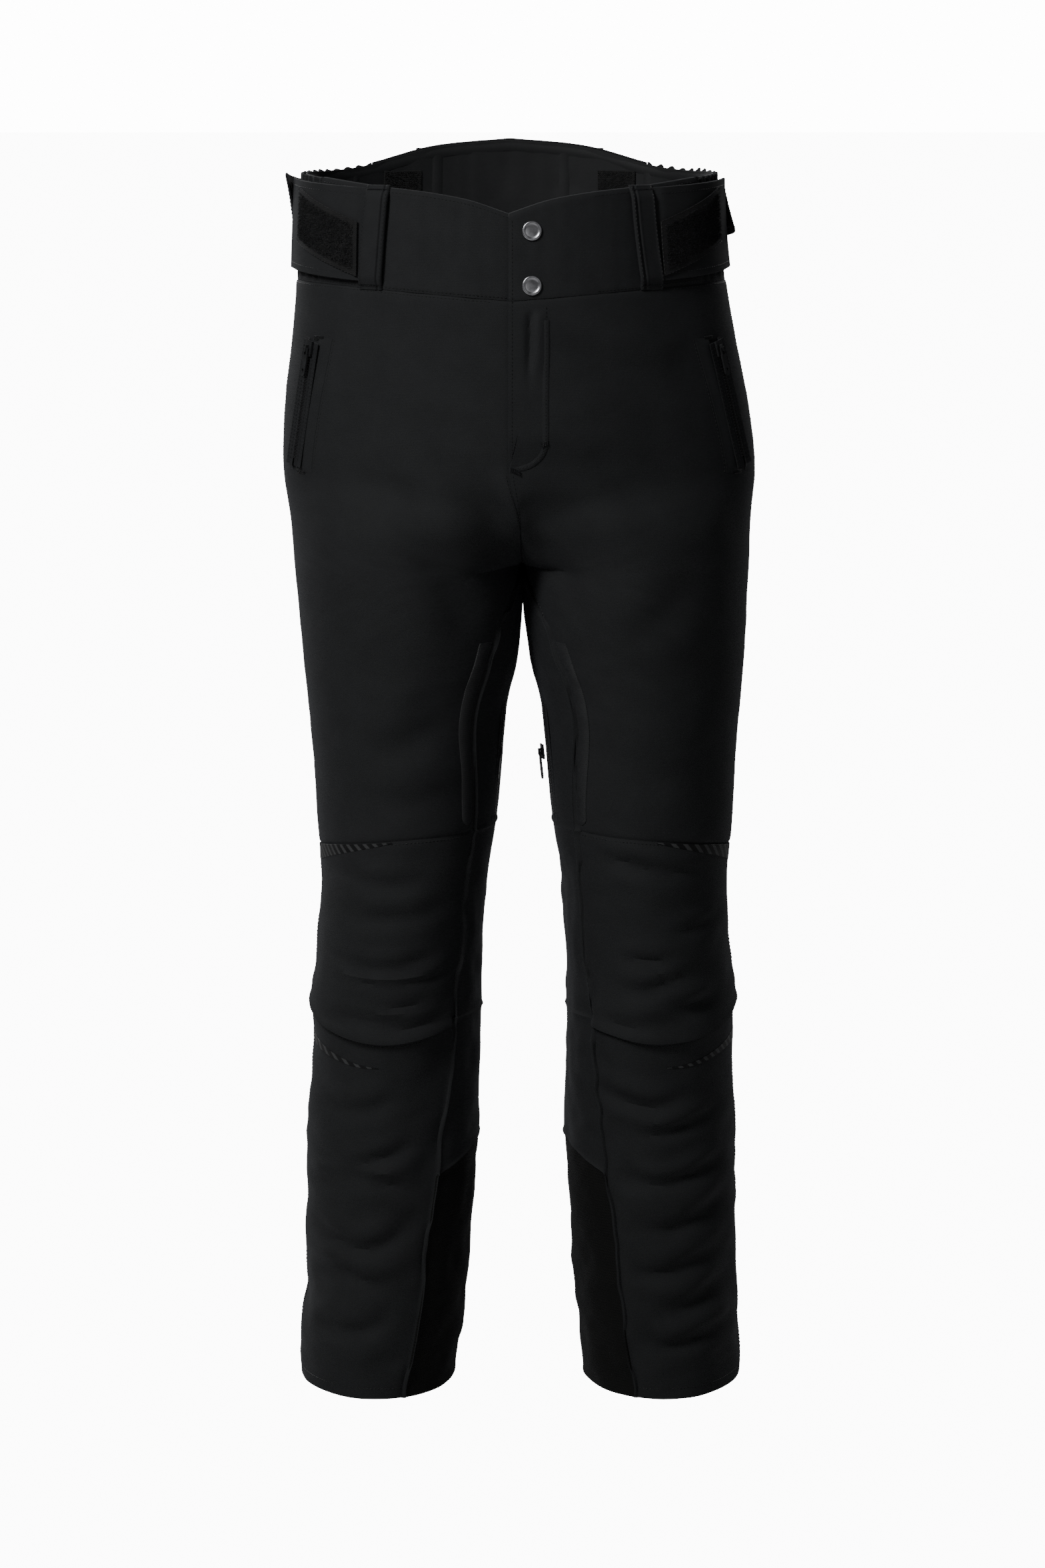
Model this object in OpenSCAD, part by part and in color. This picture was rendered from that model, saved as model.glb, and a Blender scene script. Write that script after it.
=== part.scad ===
// Insulated ski pants, worn shape, in millimetres.
// The origin is the centre of the waist opening, +Z is up and the front faces -Y.
// "left" and "right" are the wearer's: left is +X.
// Every cloth panel is a patch of one skin, addressed by t (0 at the front seam, 0.5 at the
// outer side, 1 at the back seam) and by the height z.

/* [Size] */
// Length from the waist opening to the hem
outseam = 1060; // [1000:10:1120]
// Width across the hips
hip_width = 406; // [380:2:430]
// Thickness of the insulated shell
cloth = 3; // [2:0.5:3.5]

/* [Waist] */
// How far the left front stands proud where it laps over the right
lap_lift = 6.5; // [6.5:0.25:7]
// Width of a belt loop
loop_width = 22; // [16:1:26]
// Free height under a belt loop
loop_gap = 8; // [6:0.5:9]
// Radius of a snap cap
snap_radius = 8.3; // [6.5:0.1:8.5]

/* [Zips] */
// Distance from tooth to tooth along one side of a zip
tooth_pitch = 2.5; // [2:0.1:3]
// Width of the tape on each side of the teeth
tape_width = 8; // [6:0.5:9]
// Length of a zip pull
pull_length = 24; // [18:1:30]

/* [Hidden] */

kz = outseam / 1060;
kx = hip_width / 406;
left = 1;
right = -1;
seam = 0.4; // gap between two sewn panels
black = [0.11, 0.11, 0.12];
deep_black = [0.07, 0.07, 0.08];
gunmetal = [0.55, 0.55, 0.57];

// Heights of the main seams
crotch_z = -335;
band_z = -100;
hip_z = -250; // the legs begin to part here
thigh_z = -402;
knee_z = -583;
shin_z = -760;
guard_z = -865;
hem_z = -1060;

// Pelvis: height, half width, depth to the front, depth to the back
PELVIS = [[30, 178, 104, 104], [0, 178, 105, 105], [-50, 180, 110, 106], [-100, 184, 113, 112],
    [-150, 191, 117, 120], [-200, 199, 120, 128], [-250, 203, 122, 131], [-300, 200, 121, 128],
    [-335, 196, 119, 122], [-400, 190, 115, 118]];
// Leg: height, centre x, centre y, half width, half depth
LEG = [[-335, 98, 2, 98, 119], [-372, 97.5, 0, 95.5, 116], [-420, 99, 0, 91, 112],
    [-466, 102, -1, 84, 108], [-513, 102, -3, 80, 103], [-560, 103, -6, 76.5, 98],
    [-607, 105, -9, 71, 94], [-655, 109, -10, 70.5, 91], [-727, 112.5, -8, 71.5, 88],
    [-775, 112.5, -4, 72, 88], [-823, 114.5, 0, 73.5, 89], [-870, 116, 4, 74, 91],
    [-920, 118, 8, 72, 93], [-970, 119, 11, 70.5, 94], [-1018, 124, 13, 70, 95],
    [-1060, 127, 14, 68, 95]];
// Inner leg panel: height, half its angle round the leg, in degrees
GUSSET = [[-335, 0], [-365, 25], [-420, 42], [-560, 40], [-680, 39], [-740, 44], [-865, 57],
    [-1060, 68]];
// Sideways shift of the body over the legs, from the stance
SWAY = [[30, -9], [-60, -9], [-140, -5.5], [-210, -2.5], [-280, 0], [-1060, 0]];
// Top edge of the waistband, and the seam below it: t, height
TOP = [[0, -34], [0.06, -23], [0.11, -18], [0.2, -13], [0.33, -7], [0.5, -4], [0.76, 0],
    [0.88, 14], [1, 20]];
BAND = [[0, -106], [0.2, -98], [1, band_z]];

fly_edge_x = -9; // free edge of the left front
lapel_top_x = 40; // where the fold line of the flap meets the top
fly_low_z = -246;
underlap_x = 26;
zip_x = 3;
snap_x = 9.4;
snap_z = [-48, -93];
loop_t = 0.215;
back_loop_t = 0.87;

function smooth(u) = let(c = min(1, max(0, u))) c * c * (3 - 2 * c);
function mix(a, b, u) = a + (b - a) * u;
// A table's row at a key that falls down the table, or rises when rise is -1
function at(tab, key, rise = 1, i = 0) =
    let(a = tab[i], b = tab[i + 1])
    (rise * key >= rise * b[0] || i + 2 >= len(tab))
        ? mix(a, b, min(1, max(0, (a[0] - key) / (a[0] - b[0]))))
        : at(tab, key, rise, i + 1);
function top_z(t) = at(TOP, abs(t), -1)[1];
function band_low(t) = at(BAND, abs(t), -1)[1];
function sway(z) = at(SWAY, z)[1];

function pelvis(t, z) =
    let(s = at(PELVIS, z), q = 180 * t)
    [s[1] * sin(q), -(cos(q) > 0 ? s[2] : s[3]) * cos(q)];
function leg(q, z) =
    let(s = at(LEG, z))
    [s[1] - s[3] * cos(q), s[2] - s[4] * sin(q)];
function leg_angle(t, z) =
    let(g = at(GUSSET, z)[1])
    g + (360 - 2 * g) * t;
// Between the hips and the crotch the pelvis's section parts into the legs' two. Its angles are
// first drawn together, so that each point faces its own on the leg.
function forked(t, z) =
    let(u = (hip_z - z) / (hip_z - crotch_z), e = pow(sin(180 * t), 2),
        w = mix(1 - sqrt(1 - u * u), smooth(u), smooth(min(t, 1 - t) / 0.22)),
        near = (t < 0.5 ? asin(e) : 180 - asin(e)) / 180,
        p = mix(pelvis(mix(t, near, smooth(1.6 * u)), z), leg(360 * t, z), w))
    [p[0], p[1] * (1 + 0.25 * w * (1 - w))];
function flat_skin(t, z) =
    z >= hip_z ? pelvis(t, z) : z <= crotch_z ? leg(leg_angle(t, z), z) : forked(t, z);
function skin(t, z) = let(p = flat_skin(t, z)) [p[0] * kx, p[1] * kx, z * kz];
function unit(v) = v / norm(v);
function normal(t, z) =
    unit(cross(skin(t + 0.004, z) - skin(t - 0.004, z), skin(t, z + 1) - skin(t, z - 1)));
// A point off the skin, on either side of the body; above the crotch t runs past the seams
function place(t, z, off, side) =
    (z > crotch_z && t > 1) ? place(2 - t, z, off, -side)
    : (z > crotch_z && t < 0) ? place(-t, z, off, -side)
    : let(p = skin(t, z) + off * normal(t, z)) [side * p[0] + sway(z), p[1], p[2]];
function facing(t, z, side) =
    (z > crotch_z && t > 1) ? facing(2 - t, z, -side)
    : (z > crotch_z && t < 0) ? facing(-t, z, -side)
    : let(n = normal(t, z)) [side * n[0], n[1], n[2]];
// The t that lies at a world x on the front, measured towards the left
function t_at(x, z) = asin((x - sway(z)) / (at(PELVIS, z)[1] * kx)) / 180;
// The inner leg panel's far edge
function inner_t(z) = let(g = at(GUSSET, z)[1]) -2 * g / (360 - 2 * g);
function lapel_x(z) = mix(fly_edge_x, lapel_top_x, (z - fly_low_z) / (-34 - fly_low_z));
// The lift fades towards the side and into the foot of the fly
function lap(t, z) = lap_lift * (1 - smooth((t - 0.08) / 0.2)) * smooth((z + 249) / 34);

// A closed sheet through a grid of [t, z, outer offset]
module sheet(grid, thick, side) {
    nj = len(grid);
    ni = len(grid[0]);
    n = ni * nj;
    points = concat([for (r = grid, p = r) place(p[0], p[1], p[2], side)],
        [for (r = grid, p = r) place(p[0], p[1], p[2] - thick, side)]);
    quads = concat(
        [for (j = [0:nj - 2], i = [0:ni - 2])
            let(a = j * ni + i) [a, a + 1, a + ni + 1, a + ni]],
        [for (j = [0:nj - 2], i = [0:ni - 2])
            let(a = j * ni + i + n) [a + ni, a + ni + 1, a + 1, a]],
        [for (i = [0:ni - 2]) [i + n, i + 1 + n, i + 1, i]],
        [for (i = [0:ni - 2]) let(a = (nj - 1) * ni + i) [a, a + 1, a + 1 + n, a + n]],
        [for (j = [0:nj - 2]) let(a = j * ni) [a, a + ni, a + ni + n, a + n]],
        [for (j = [0:nj - 2]) let(a = j * ni + ni - 1) [a + n, a + ni + n, a + ni, a]]);
    triangles = [for (q = quads, h = [[0, 1, 2], [0, 2, 3]])
        side > 0 ? [q[h[0]], q[h[1]], q[h[2]]] : [q[h[2]], q[h[1]], q[h[0]]]];
    polyhedron(points, [for (f = triangles) [f[2], f[1], f[0]]]);
}

// A panel between two heights and two values of t
module panel(t0, t1, z0, z1, side, nt = 8, nz = 6, off = 0, thick = cloth) {
    sheet([for (j = [0:nz]) [for (i = [0:nt])
        [mix(t0, t1, i / nt), mix(z0, z1, j / nz), off]]], thick, side);
}

// An inner leg panel, whose edges follow the gusset's angle
module inner_panel(z0, z1, side, nz, off = 0, thick = cloth) {
    sheet([for (j = [0:nz]) let(z = mix(z0, z1, j / nz)) [for (i = [0:8])
        [mix(inner_t(z) + 0.002, -0.002, i / 8), z, off]]], thick, side);
}

// Puts its children on a line of the skin: Z outwards, Y up the line, the origin at its top
module on_line(a, b, out) {
    y = unit(a - b);
    x = unit(cross(y, out));
    z = cross(x, y);
    multmatrix([[x[0], y[0], z[0], a[0]], [x[1], y[1], z[1], a[1]], [x[2], y[2], z[2], a[2]],
        [0, 0, 0, 1]]) children();
}

module on_skin(t, z, off, side) {
    on_line(place(t, z, off, side), place(t, z - 4, off, side), facing(t, z, side)) children();
}

// ---- Zips: Y up the chain from its top, Z away from the body ----
tape_z = 1.6;
tape_thick = 0.8;
tooth_reach = 0.9;
rail_in = 1.6;
rail_out = 2.6;
teeth_low = 1;
teeth_high = 3.2;
slider_half = 6.5;
pivot_z = 5.9;

module comb(length, shift) {
    count = floor(length / tooth_pitch) - 1;
    tooth = tooth_pitch * 0.42;
    outline = concat([[rail_out, 0], [rail_out, -length]],
        [[rail_in, -length]],
        [for (k = [count:-1:0]) let(y = -(k + shift) * tooth_pitch - tooth_pitch / 2)
            each [[rail_in, y - tooth / 2], [-tooth_reach, y - tooth / 2],
                [-tooth_reach, y + tooth / 2], [rail_in, y + tooth / 2]]],
        [[rail_in, 0]]);
    translate([0, 0, teeth_low]) linear_extrude(teeth_high - teeth_low) polygon(outline);
}

module zip(length) {
    for (s = [-1, 1]) {
        translate([s > 0 ? rail_out + 0.1 : -rail_out - 0.1 - tape_width, -length - 6, tape_z])
            cube([tape_width, length + 12, tape_thick]);
        mirror([s > 0 ? 0 : 1, 0, 0]) comb(length, s > 0 ? 0 : 0.5);
    }
    translate([-rail_out, -length - 4, teeth_low]) cube([2 * rail_out, 3.4, 2.4]);
}

// A plate over the teeth with a flange down each side, and a bored lug that holds the pull
module slider() {
    difference() {
        union() {
            translate([-4.6, -slider_half, 3.4]) cube([9.2, 2 * slider_half, 1]);
            for (x = [-4.6, 3.3])
                translate([x, -slider_half, 2.6]) cube([1.3, 2 * slider_half, 1.2]);
            translate([-0.9, -3, 4]) cube([1.8, 6, 3.3]);
        }
        translate([-2, 0, pivot_z]) rotate([0, 90, 0]) cylinder(r = 0.75, h = 4, $fn = 24);
    }
}

// A pin through the lug, two arms and a flat grip, hanging down the chain
module pull() {
    translate([-2.6, 0, pivot_z]) rotate([0, 90, 0]) cylinder(r = 0.65, h = 5.2, $fn = 24);
    for (s = [-1, 1]) translate([s > 0 ? 1.3 : -2.6, -7, pivot_z - 0.65]) cube([1.3, 7, 1.3]);
    translate([0, 0, pivot_z - 0.65]) linear_extrude(1.3) difference() {
        union() {
            translate([-3.2, -pull_length + 3.2]) square([6.4, pull_length - 9]);
            translate([0, -pull_length + 3.2]) circle(r = 3.2, $fn = 32);
        }
        translate([0, -pull_length + 5]) circle(r = 1.3, $fn = 24);
    }
}

// Each zip's ends on the skin, and the way it faces
function fly_ends() = [[zip_x, -(at(PELVIS, -112)[2] - 10) * kx, -112 * kz],
    [zip_x, -(at(PELVIS, -236)[2] - 10) * kx, -236 * kz]];
function pocket_ends(side) = [place(0.35, -150, 1.2, side), place(0.38, -244, 1.2, side)];
function vent_t(z) = let(g = at(GUSSET, z)[1]) (14 - g) / (360 - 2 * g);
function vent_ends(side) = [for (z = [-455, -556]) place(vent_t(z), z, 0, side)];

module at_fly() { on_line(fly_ends()[0], fly_ends()[1], [0, -1, 0]) children(); }
module at_pocket(side) {
    e = pocket_ends(side);
    on_line(e[0], e[1], facing(0.367, -205, side)) children();
}
module at_vent(side) {
    e = vent_ends(side);
    on_line(e[0], e[1], facing(vent_t(-505), -505, side)) children();
}
function span(e) = norm(e[0] - e[1]);
vent_rest = -45; // the vent's slider, down its chain

// ---- Waist ----
module waistband(side) {
    color(black) if (side > 0)
        sheet([for (j = [0:5]) [for (i = [0:10])
            let(t1 = mix(0.02, 0.335, i / 10), za = mix(band_low(t1), top_z(t1), j / 5),
                t = mix(t_at(lapel_x(za) + 0.6, za), 0.335, i / 10),
                z = mix(band_low(t), top_z(t), j / 5))
            [t, z, lap(t, z)]]], cloth, side);
    else
        sheet([for (j = [0:5]) [for (i = [0:12])
            let(t = mix(-t_at(underlap_x, -60), 0.335, i / 12))
            [t, mix(band_low(t), top_z(t), j / 5), 0]]], cloth, side);
    // the folded strap at the side, which carries the loop patch
    color(black)
        sheet([for (j = [0:4]) [for (i = [0:8])
            let(u = i / 8, t = mix(0.24, 0.47, u))
            [t, mix(-88, mix(-14, -9, u), j / 4), 5.4 + 0.8 * sin(180 * u)]]], 2.4, side);
}

module waistband_back() {
    color(black) sheet([for (j = [0:5]) [for (i = [0:16])
        let(t = mix(0.765, 1.235, i / 16), e = t > 1 ? 2 - t : t)
        [t, mix(band_low(e), top_z(e), j / 5), 0]]], cloth, left);
}

module elastic(side) {
    color(deep_black) sheet([for (j = [0:4]) [for (i = [0:36])
        [mix(0.338, 0.762, i / 36), mix(-97.5, -6, j / 4), 0.9 * cos(i * 120)]]], cloth, side);
}

module belt_loop(t, side, high, low) {
    half = loop_width / 360 / 3.1;
    lift = loop_gap + 2;
    color(black) sheet([for (r = [[low, 2.3], [low + 4, 2.5], [low + 9, lift], [mix(low, high, 0.5), lift],
        [high - 9, lift], [high - 4, 2.5], [high, 2.3]])
        [for (i = [-1:0.5:1]) let(u = t + half * i)
            [u, r[0], r[1] + (side > 0 ? lap(u, r[0]) : 0)]]], 2, side);
}

module loop_patch(side) {
    color(deep_black) sheet([for (j = [0:3]) [for (i = [0:7])
        let(u = i / 7) [mix(0.262, 0.465, u), mix(-83, -60, u) + 39 * j / 3,
            7.2 + 0.8 * sin(180 * u)]]], 1.4, side);
}

module adjuster_tab(side) {
    color(black) sheet([for (j = [0:3]) [for (i = [0:6])
        let(u = i / 6) [mix(0.487, 0.69, u), mix(mix(-62, -72, u), mix(-10, -26, u), j / 3),
            mix(12.5, 3.4, u)]]], 2.2, side);
}

module hook_patch(side) {
    color(deep_black) sheet([for (j = [0:2]) [for (i = [0:3])
        let(u = i / 3) [mix(0.492, 0.56, u), mix(mix(-58, -62, u), mix(-14, -19, u), j / 2),
            mix(9.4, 6.4, u)]]], 1.2, side);
}

module brace_patch(side) {
    color(deep_black) panel(0.785, 0.855, -34, -7, side, 4, 2, -cloth - 0.5, 1.5);
}

module waist_flap() {
    color(black) sheet([for (j = [0:8]) [for (i = [0:4])
        let(z0 = mix(fly_low_z + 8, top_z(0.02), j / 8),
            t = mix(t_at(fly_edge_x, z0), t_at(lapel_x(z0) - 0.6, z0), i / 4),
            z = mix(fly_low_z + 8, top_z(t), j / 8))
        [t, z, lap(max(t, 0), z)]]], cloth, left);
}

// ---- Snaps: an outer cap, a socket under the flap and a stud on the band below ----
module at_snap(k, off) {
    on_skin(t_at(snap_x, snap_z[k]), snap_z[k], off, left) children();
}
module snap_cap() {
    color(gunmetal) translate([0, 0, 0.3]) rotate_extrude($fn = 64) polygon(concat(
        [[0, 0], [snap_radius, 0], [snap_radius, 0.6]],
        [for (a = [0:15:90]) [snap_radius - 0.9 + 0.9 * cos(a), 0.7 + 0.9 * sin(a)]],
        [[snap_radius - 1.6, 1.1], [0, 1.3]]));
    color(gunmetal) translate([0, 0, -cloth]) cylinder(r = 1.5, h = cloth + 0.6, $fn = 32);
}
module snap_socket() {
    color(gunmetal) translate([0, 0, -2.75]) difference() {
        union() {
            cylinder(r = 5.2, h = 2.35, $fn = 48);
            translate([0, 0, 1.8]) cylinder(r = 6, h = 0.55, $fn = 48);
        }
        translate([0, 0, -1]) cylinder(r = 2.9, h = 5, $fn = 48);
    }
}
module snap_stud() {
    color(gunmetal) {
        translate([0, 0, 0.05]) cylinder(r = 5.5, h = 0.55, $fn = 48);
        translate([0, 0, 0.4]) cylinder(r = 1.9, h = 2.1, $fn = 48);
        translate([0, 0, 1.9]) cylinder(r = 2.2, h = 0.6, $fn = 48);
    }
}

// ---- Fly and hips ----
module fly_shield() {
    color(black) sheet([for (j = [0:5]) [for (i = [0:3])
        let(z = mix(fly_low_z, -108, j / 5))
        [t_at(mix(-14, underlap_x, i / 3), z), z, -13]]], 1.5, left);
}

module hip_front(side) {
    rows = [0, 0.08, 0.16, 0.25, 0.5, 0.75, 1];
    color(black) sheet([for (r = rows) [for (i = [0:9])
        let(z0 = mix(hip_z, -106, r),
            inner = side > 0 ? t_at(max(fly_edge_x, lapel_x(z0)) + 0.6, z0)
                : -t_at(mix(-12, -1.5, smooth((z0 + 204) / 30)), z0),
            t = mix(inner, 0.4985, i / 9), z = mix(hip_z, band_low(t) - 2 * seam, r))
        [t, z, side > 0 ? lap(max(t, 0), z) : 0]]], cloth, side);
}

module seat(side) {
    color(black) panel(0.5015, 0.9985, hip_z, band_z - seam, side, 9, 6);
}

module pocket_bag(side) {
    color(deep_black) panel(0.22, 0.4, -300, -140, side, 4, 5, -7, 1.5);
}

module groin(side) {
    rows = [-401.4, -380, -360, -345, -335, -333, -328, -319, -306, -290, -272, hip_z - seam];
    color(black) {
        sheet([for (z = rows) [for (i = [0:24]) [mix(0.002, 0.998, i / 24), z, 0]]], cloth, side);
        inner_panel(thigh_z + 1, -338, side, 4);
    }
}

// ---- Legs ----
module thigh_front(side) { color(black) panel(0, 0.4985, knee_z + seam, thigh_z, side, 8, 6); }
module thigh_back(side) { color(black) panel(0.5015, 1, knee_z + seam, thigh_z, side, 8, 6); }
module inner_thigh(side) { color(black) inner_panel(knee_z + seam, thigh_z, side, 6); }
module knee(side) {
    color(black) {
        panel(0, 0.4985, shin_z + seam, knee_z - seam, side, 8, 5);
        panel(0.5015, 1, shin_z + seam, knee_z - seam, side, 8, 5);
        inner_panel(shin_z + seam, knee_z - seam, side, 5);
    }
}
module shin_front(side) { color(black) panel(0, 0.4985, hem_z, shin_z - seam, side, 8, 8); }
module calf(side) { color(black) panel(0.5015, 1, hem_z, shin_z - seam, side, 8, 8); }
module inner_shin(side) { color(black) inner_panel(guard_z + seam, shin_z - seam, side, 4); }
module scuff_guard(side) { color(deep_black) inner_panel(hem_z, guard_z - seam, side, 6); }

// The snow gaiter, a lining sleeve that hangs inside the hem
module gaiter(side) {
    color(deep_black) for (h = [[-0.15, 0.35], [0.353, 0.847]])
        sheet([for (j = [0:5]) let(z = mix(-1048, -905, j / 5)) [for (i = [0:10])
            [mix(h[0], h[1], i / 10), z, -cloth - mix(17, 1.5, j / 5)]]], 1.2, side);
}

for (s = [[right, "_right"], [left, "_left"]]) {
    waistband(s[0]);
    elastic(s[0]);
    belt_loop(loop_t, s[0], -8, -98);
    hip_front(s[0]);
    seat(s[0]);
    groin(s[0]);
    adjuster_tab(s[0]);
    hook_patch(s[0]);
    color(deep_black) at_pocket(s[0]) zip(span(pocket_ends(s[0])));
    color(gunmetal) at_pocket(s[0]) slider();
    color(gunmetal) at_pocket(s[0]) pull();
    color(deep_black) at_vent(s[0]) zip(span(vent_ends(s[0])));
    color(gunmetal) at_vent(s[0]) translate([0, vent_rest, 0]) slider();
    color(gunmetal) at_vent(s[0]) translate([0, vent_rest, 0]) pull();
    thigh_front(s[0]);
    thigh_back(s[0]);
    inner_thigh(s[0]);
    knee(s[0]);
    shin_front(s[0]);
    calf(s[0]);
    inner_shin(s[0]);
    scuff_guard(s[0]);
    gaiter(s[0]);
}
waistband_back();
for (side = [left, right]) belt_loop(back_loop_t, side, 8, -97);  // belt_loops_back
for (side = [left, right]) loop_patch(side);  // loop_patches
for (side = [left, right]) brace_patch(side);  // brace_patches
for (k = [0, 1]) at_snap(k, 0) snap_stud();  // snap_studs
for (k = [0, 1]) at_snap(k, lap(0, snap_z[k])) snap_cap();  // snap_caps
for (k = [0, 1]) at_snap(k, lap(0, snap_z[k]) - cloth) snap_socket();  // snap_sockets
fly_shield();
color(deep_black) at_fly() zip(span(fly_ends()));  // fly_zip
color(gunmetal) at_fly() slider();  // fly_slider
color(gunmetal) at_fly() pull();  // fly_pull
for (side = [left, right]) pocket_bag(side);  // pocket_bags
waist_flap();
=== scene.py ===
import math

import bpy
import numpy as np
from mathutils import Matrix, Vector


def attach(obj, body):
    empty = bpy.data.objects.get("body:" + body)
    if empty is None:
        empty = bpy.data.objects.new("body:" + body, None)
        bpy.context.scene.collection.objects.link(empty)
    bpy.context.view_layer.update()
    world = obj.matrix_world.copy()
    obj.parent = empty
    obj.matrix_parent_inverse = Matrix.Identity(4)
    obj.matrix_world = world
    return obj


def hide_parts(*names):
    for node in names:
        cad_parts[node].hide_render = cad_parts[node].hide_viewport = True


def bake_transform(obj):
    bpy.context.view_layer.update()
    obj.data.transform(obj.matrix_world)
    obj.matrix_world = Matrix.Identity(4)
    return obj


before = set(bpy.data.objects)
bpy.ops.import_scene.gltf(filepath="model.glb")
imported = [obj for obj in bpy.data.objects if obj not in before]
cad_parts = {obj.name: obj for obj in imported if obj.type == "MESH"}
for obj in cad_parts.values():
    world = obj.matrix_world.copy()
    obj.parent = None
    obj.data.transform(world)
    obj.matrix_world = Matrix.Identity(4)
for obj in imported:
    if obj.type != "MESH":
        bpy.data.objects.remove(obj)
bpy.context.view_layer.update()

# ---------------------------------------------------------------------------------------------
# The trousers' skin, with the same tables as the CAD model, in millimetres.
# t runs round the outer panels: 0 front seam, 0.5 outer side, 1 back seam. z is the height.
# ---------------------------------------------------------------------------------------------
LEFT, RIGHT = 1, -1
SIDES = ((LEFT, "left"), (RIGHT, "right"))
# height of the full hips, of the crotch and of the hem
HIP, CROTCH, HEM = -250.0, -335.0, -1066.0
# PELVIS: z, half width, depth in front, depth behind
PELVIS = [[30, 178, 104, 104], [0, 178, 105, 105], [-50, 180, 110, 106], [-100, 184, 113, 112],
          [-150, 191, 117, 120], [-200, 199, 120, 128], [-250, 203, 122, 131], [-300, 200, 121, 128],
          [-335, 196, 119, 122], [-400, 190, 115, 118]]
# LEG: z, centre x, centre y, half width, half depth
LEG = [[-335, 98, 2, 98, 119], [-372, 97.5, 0, 95.5, 116], [-420, 99, 0, 91, 112],
       [-466, 102, -1, 84, 108], [-513, 102, -3, 80, 103], [-560, 103, -6, 76.5, 98],
       [-607, 105, -9, 71, 94], [-655, 109, -10, 70.5, 91], [-727, 112.5, -8, 71.5, 88],
       [-775, 112.5, -4, 72, 88], [-823, 114.5, 0, 73.5, 89], [-870, 116, 4, 74, 91],
       [-920, 118, 8, 72, 93], [-970, 119, 11, 70.5, 94], [-1018, 124, 13, 70, 95],
       [-1060, 127, 14, 68, 95]]
# GUSSET: z, half angle of the inner panel in degrees; SWAY: z, x of the middle plane; TOP: t, z of the top
GUSSET = [[-335, 0], [-365, 25], [-420, 42], [-560, 40], [-680, 39], [-740, 44], [-865, 57], [-1060, 68]]
SWAY = [[30, -9], [-60, -9], [-140, -5.5], [-210, -2.5], [-280, 0], [-1060, 0]]
TOP = [[0, -34], [0.06, -23], [0.11, -18], [0.2, -13], [0.33, -7], [0.5, -4], [0.76, 0], [0.88, 14], [1, 20]]
LIFT = 6.5         # how far the flap lies over the other front
SAMPLES = 24       # points of a fold line between which it runs straight


def linear(tab, key):
    a = np.array(sorted(tab), float)
    return np.stack([np.interp(key, a[:, 0], a[:, i]) for i in range(1, a.shape[1])], -1)


def spline(tab, key):
    """Smooth curve through a table's rows."""
    a = np.array(sorted(tab), float)
    x, y = a[:, 0], a[:, 1:]
    h = np.diff(x)[:, None]
    d = np.diff(y, axis=0) / h
    m = np.concatenate([d[:1], (h[1:] * d[:-1] + h[:-1] * d[1:]) / (h[1:] + h[:-1]), d[-1:]])
    k = np.clip(np.asarray(key, float), x[0], x[-1])
    i = np.clip(np.searchsorted(x, k) - 1, 0, len(x) - 2)
    w = (x[i + 1] - x[i])[..., None]
    u = (k - x[i])[..., None] / w
    return ((1 + 2 * u) * (1 - u) ** 2 * y[i] + u * (1 - u) ** 2 * w * m[i]
            + u * u * (3 - 2 * u) * y[i + 1] + u * u * (u - 1) * w * m[i + 1])


def unit(v):
    return v / np.linalg.norm(v, axis=-1, keepdims=True)


def smooth(u):
    c = np.clip(u, 0, 1)
    return c * c * (3 - 2 * c)


def mix(a, b, u):
    return a + (b - a) * u


def grid(rows, cols):
    """Shares from 0 to 1 down a column and along a row."""
    return np.linspace(0, 1, rows)[:, None], np.linspace(0, 1, cols)[None, :]


def turned(t):
    """The same place seen from the own side, where t runs past the back seam."""
    return np.minimum(t, 2 - t)


def sway(z):
    return spline(SWAY, z)[..., 0]


def gusset(z):
    return spline(GUSSET, z)[..., 0]


def pelvis(t, z):
    s = spline(PELVIS, z)
    q = np.pi * t
    c = np.cos(q)
    return np.stack([s[..., 0] * np.sin(q), -np.where(c > 0, s[..., 1], s[..., 2]) * c], -1)


def leg(q, z):
    s = spline(LEG, z)
    q = np.radians(q)
    return np.stack([s[..., 0] - s[..., 2] * np.cos(q), s[..., 1] - s[..., 3] * np.sin(q)], -1)


def skin(t, z):
    """The outer panels of the left side, before its sway: an array of points."""
    t, z = np.broadcast_arrays(np.asarray(t, float), np.asarray(z, float))
    u = np.clip((HIP - z) / (HIP - CROTCH), 0, 1)
    e = np.sin(np.pi * t) ** 2
    w = mix(1 - np.sqrt(1 - u * u), smooth(u), smooth(np.minimum(t, 1 - t) / 0.22))
    near = np.arcsin(np.clip(e, 0, 1)) / np.pi
    near = np.where(t < 0.5, near, 1 - near)
    p = pelvis(mix(t, near, smooth(1.6 * u)), np.maximum(z, CROTCH))
    fork = mix(p, leg(360 * t, z), w[..., None])
    fork[..., 1] *= 1 + 0.25 * w * (1 - w)
    g = gusset(z)
    low = leg(g + (360 - 2 * g) * t, z)
    xy = np.where((z >= HIP)[..., None], pelvis(t, z), np.where((z <= CROTCH)[..., None], low, fork))
    return np.concatenate([xy, z[..., None]], -1)


def inner_skin(u, z):
    """The inner leg panel: u 0 at its back border and 1 at its front border."""
    u, z = np.broadcast_arrays(np.asarray(u, float), np.asarray(z, float))
    return np.concatenate([leg(gusset(z) * (2 * u - 1), z), z[..., None]], -1)


def to_world(p, side):
    q = p.copy()
    q[..., 0] = side * p[..., 0] + sway(p[..., 2])
    return q


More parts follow.
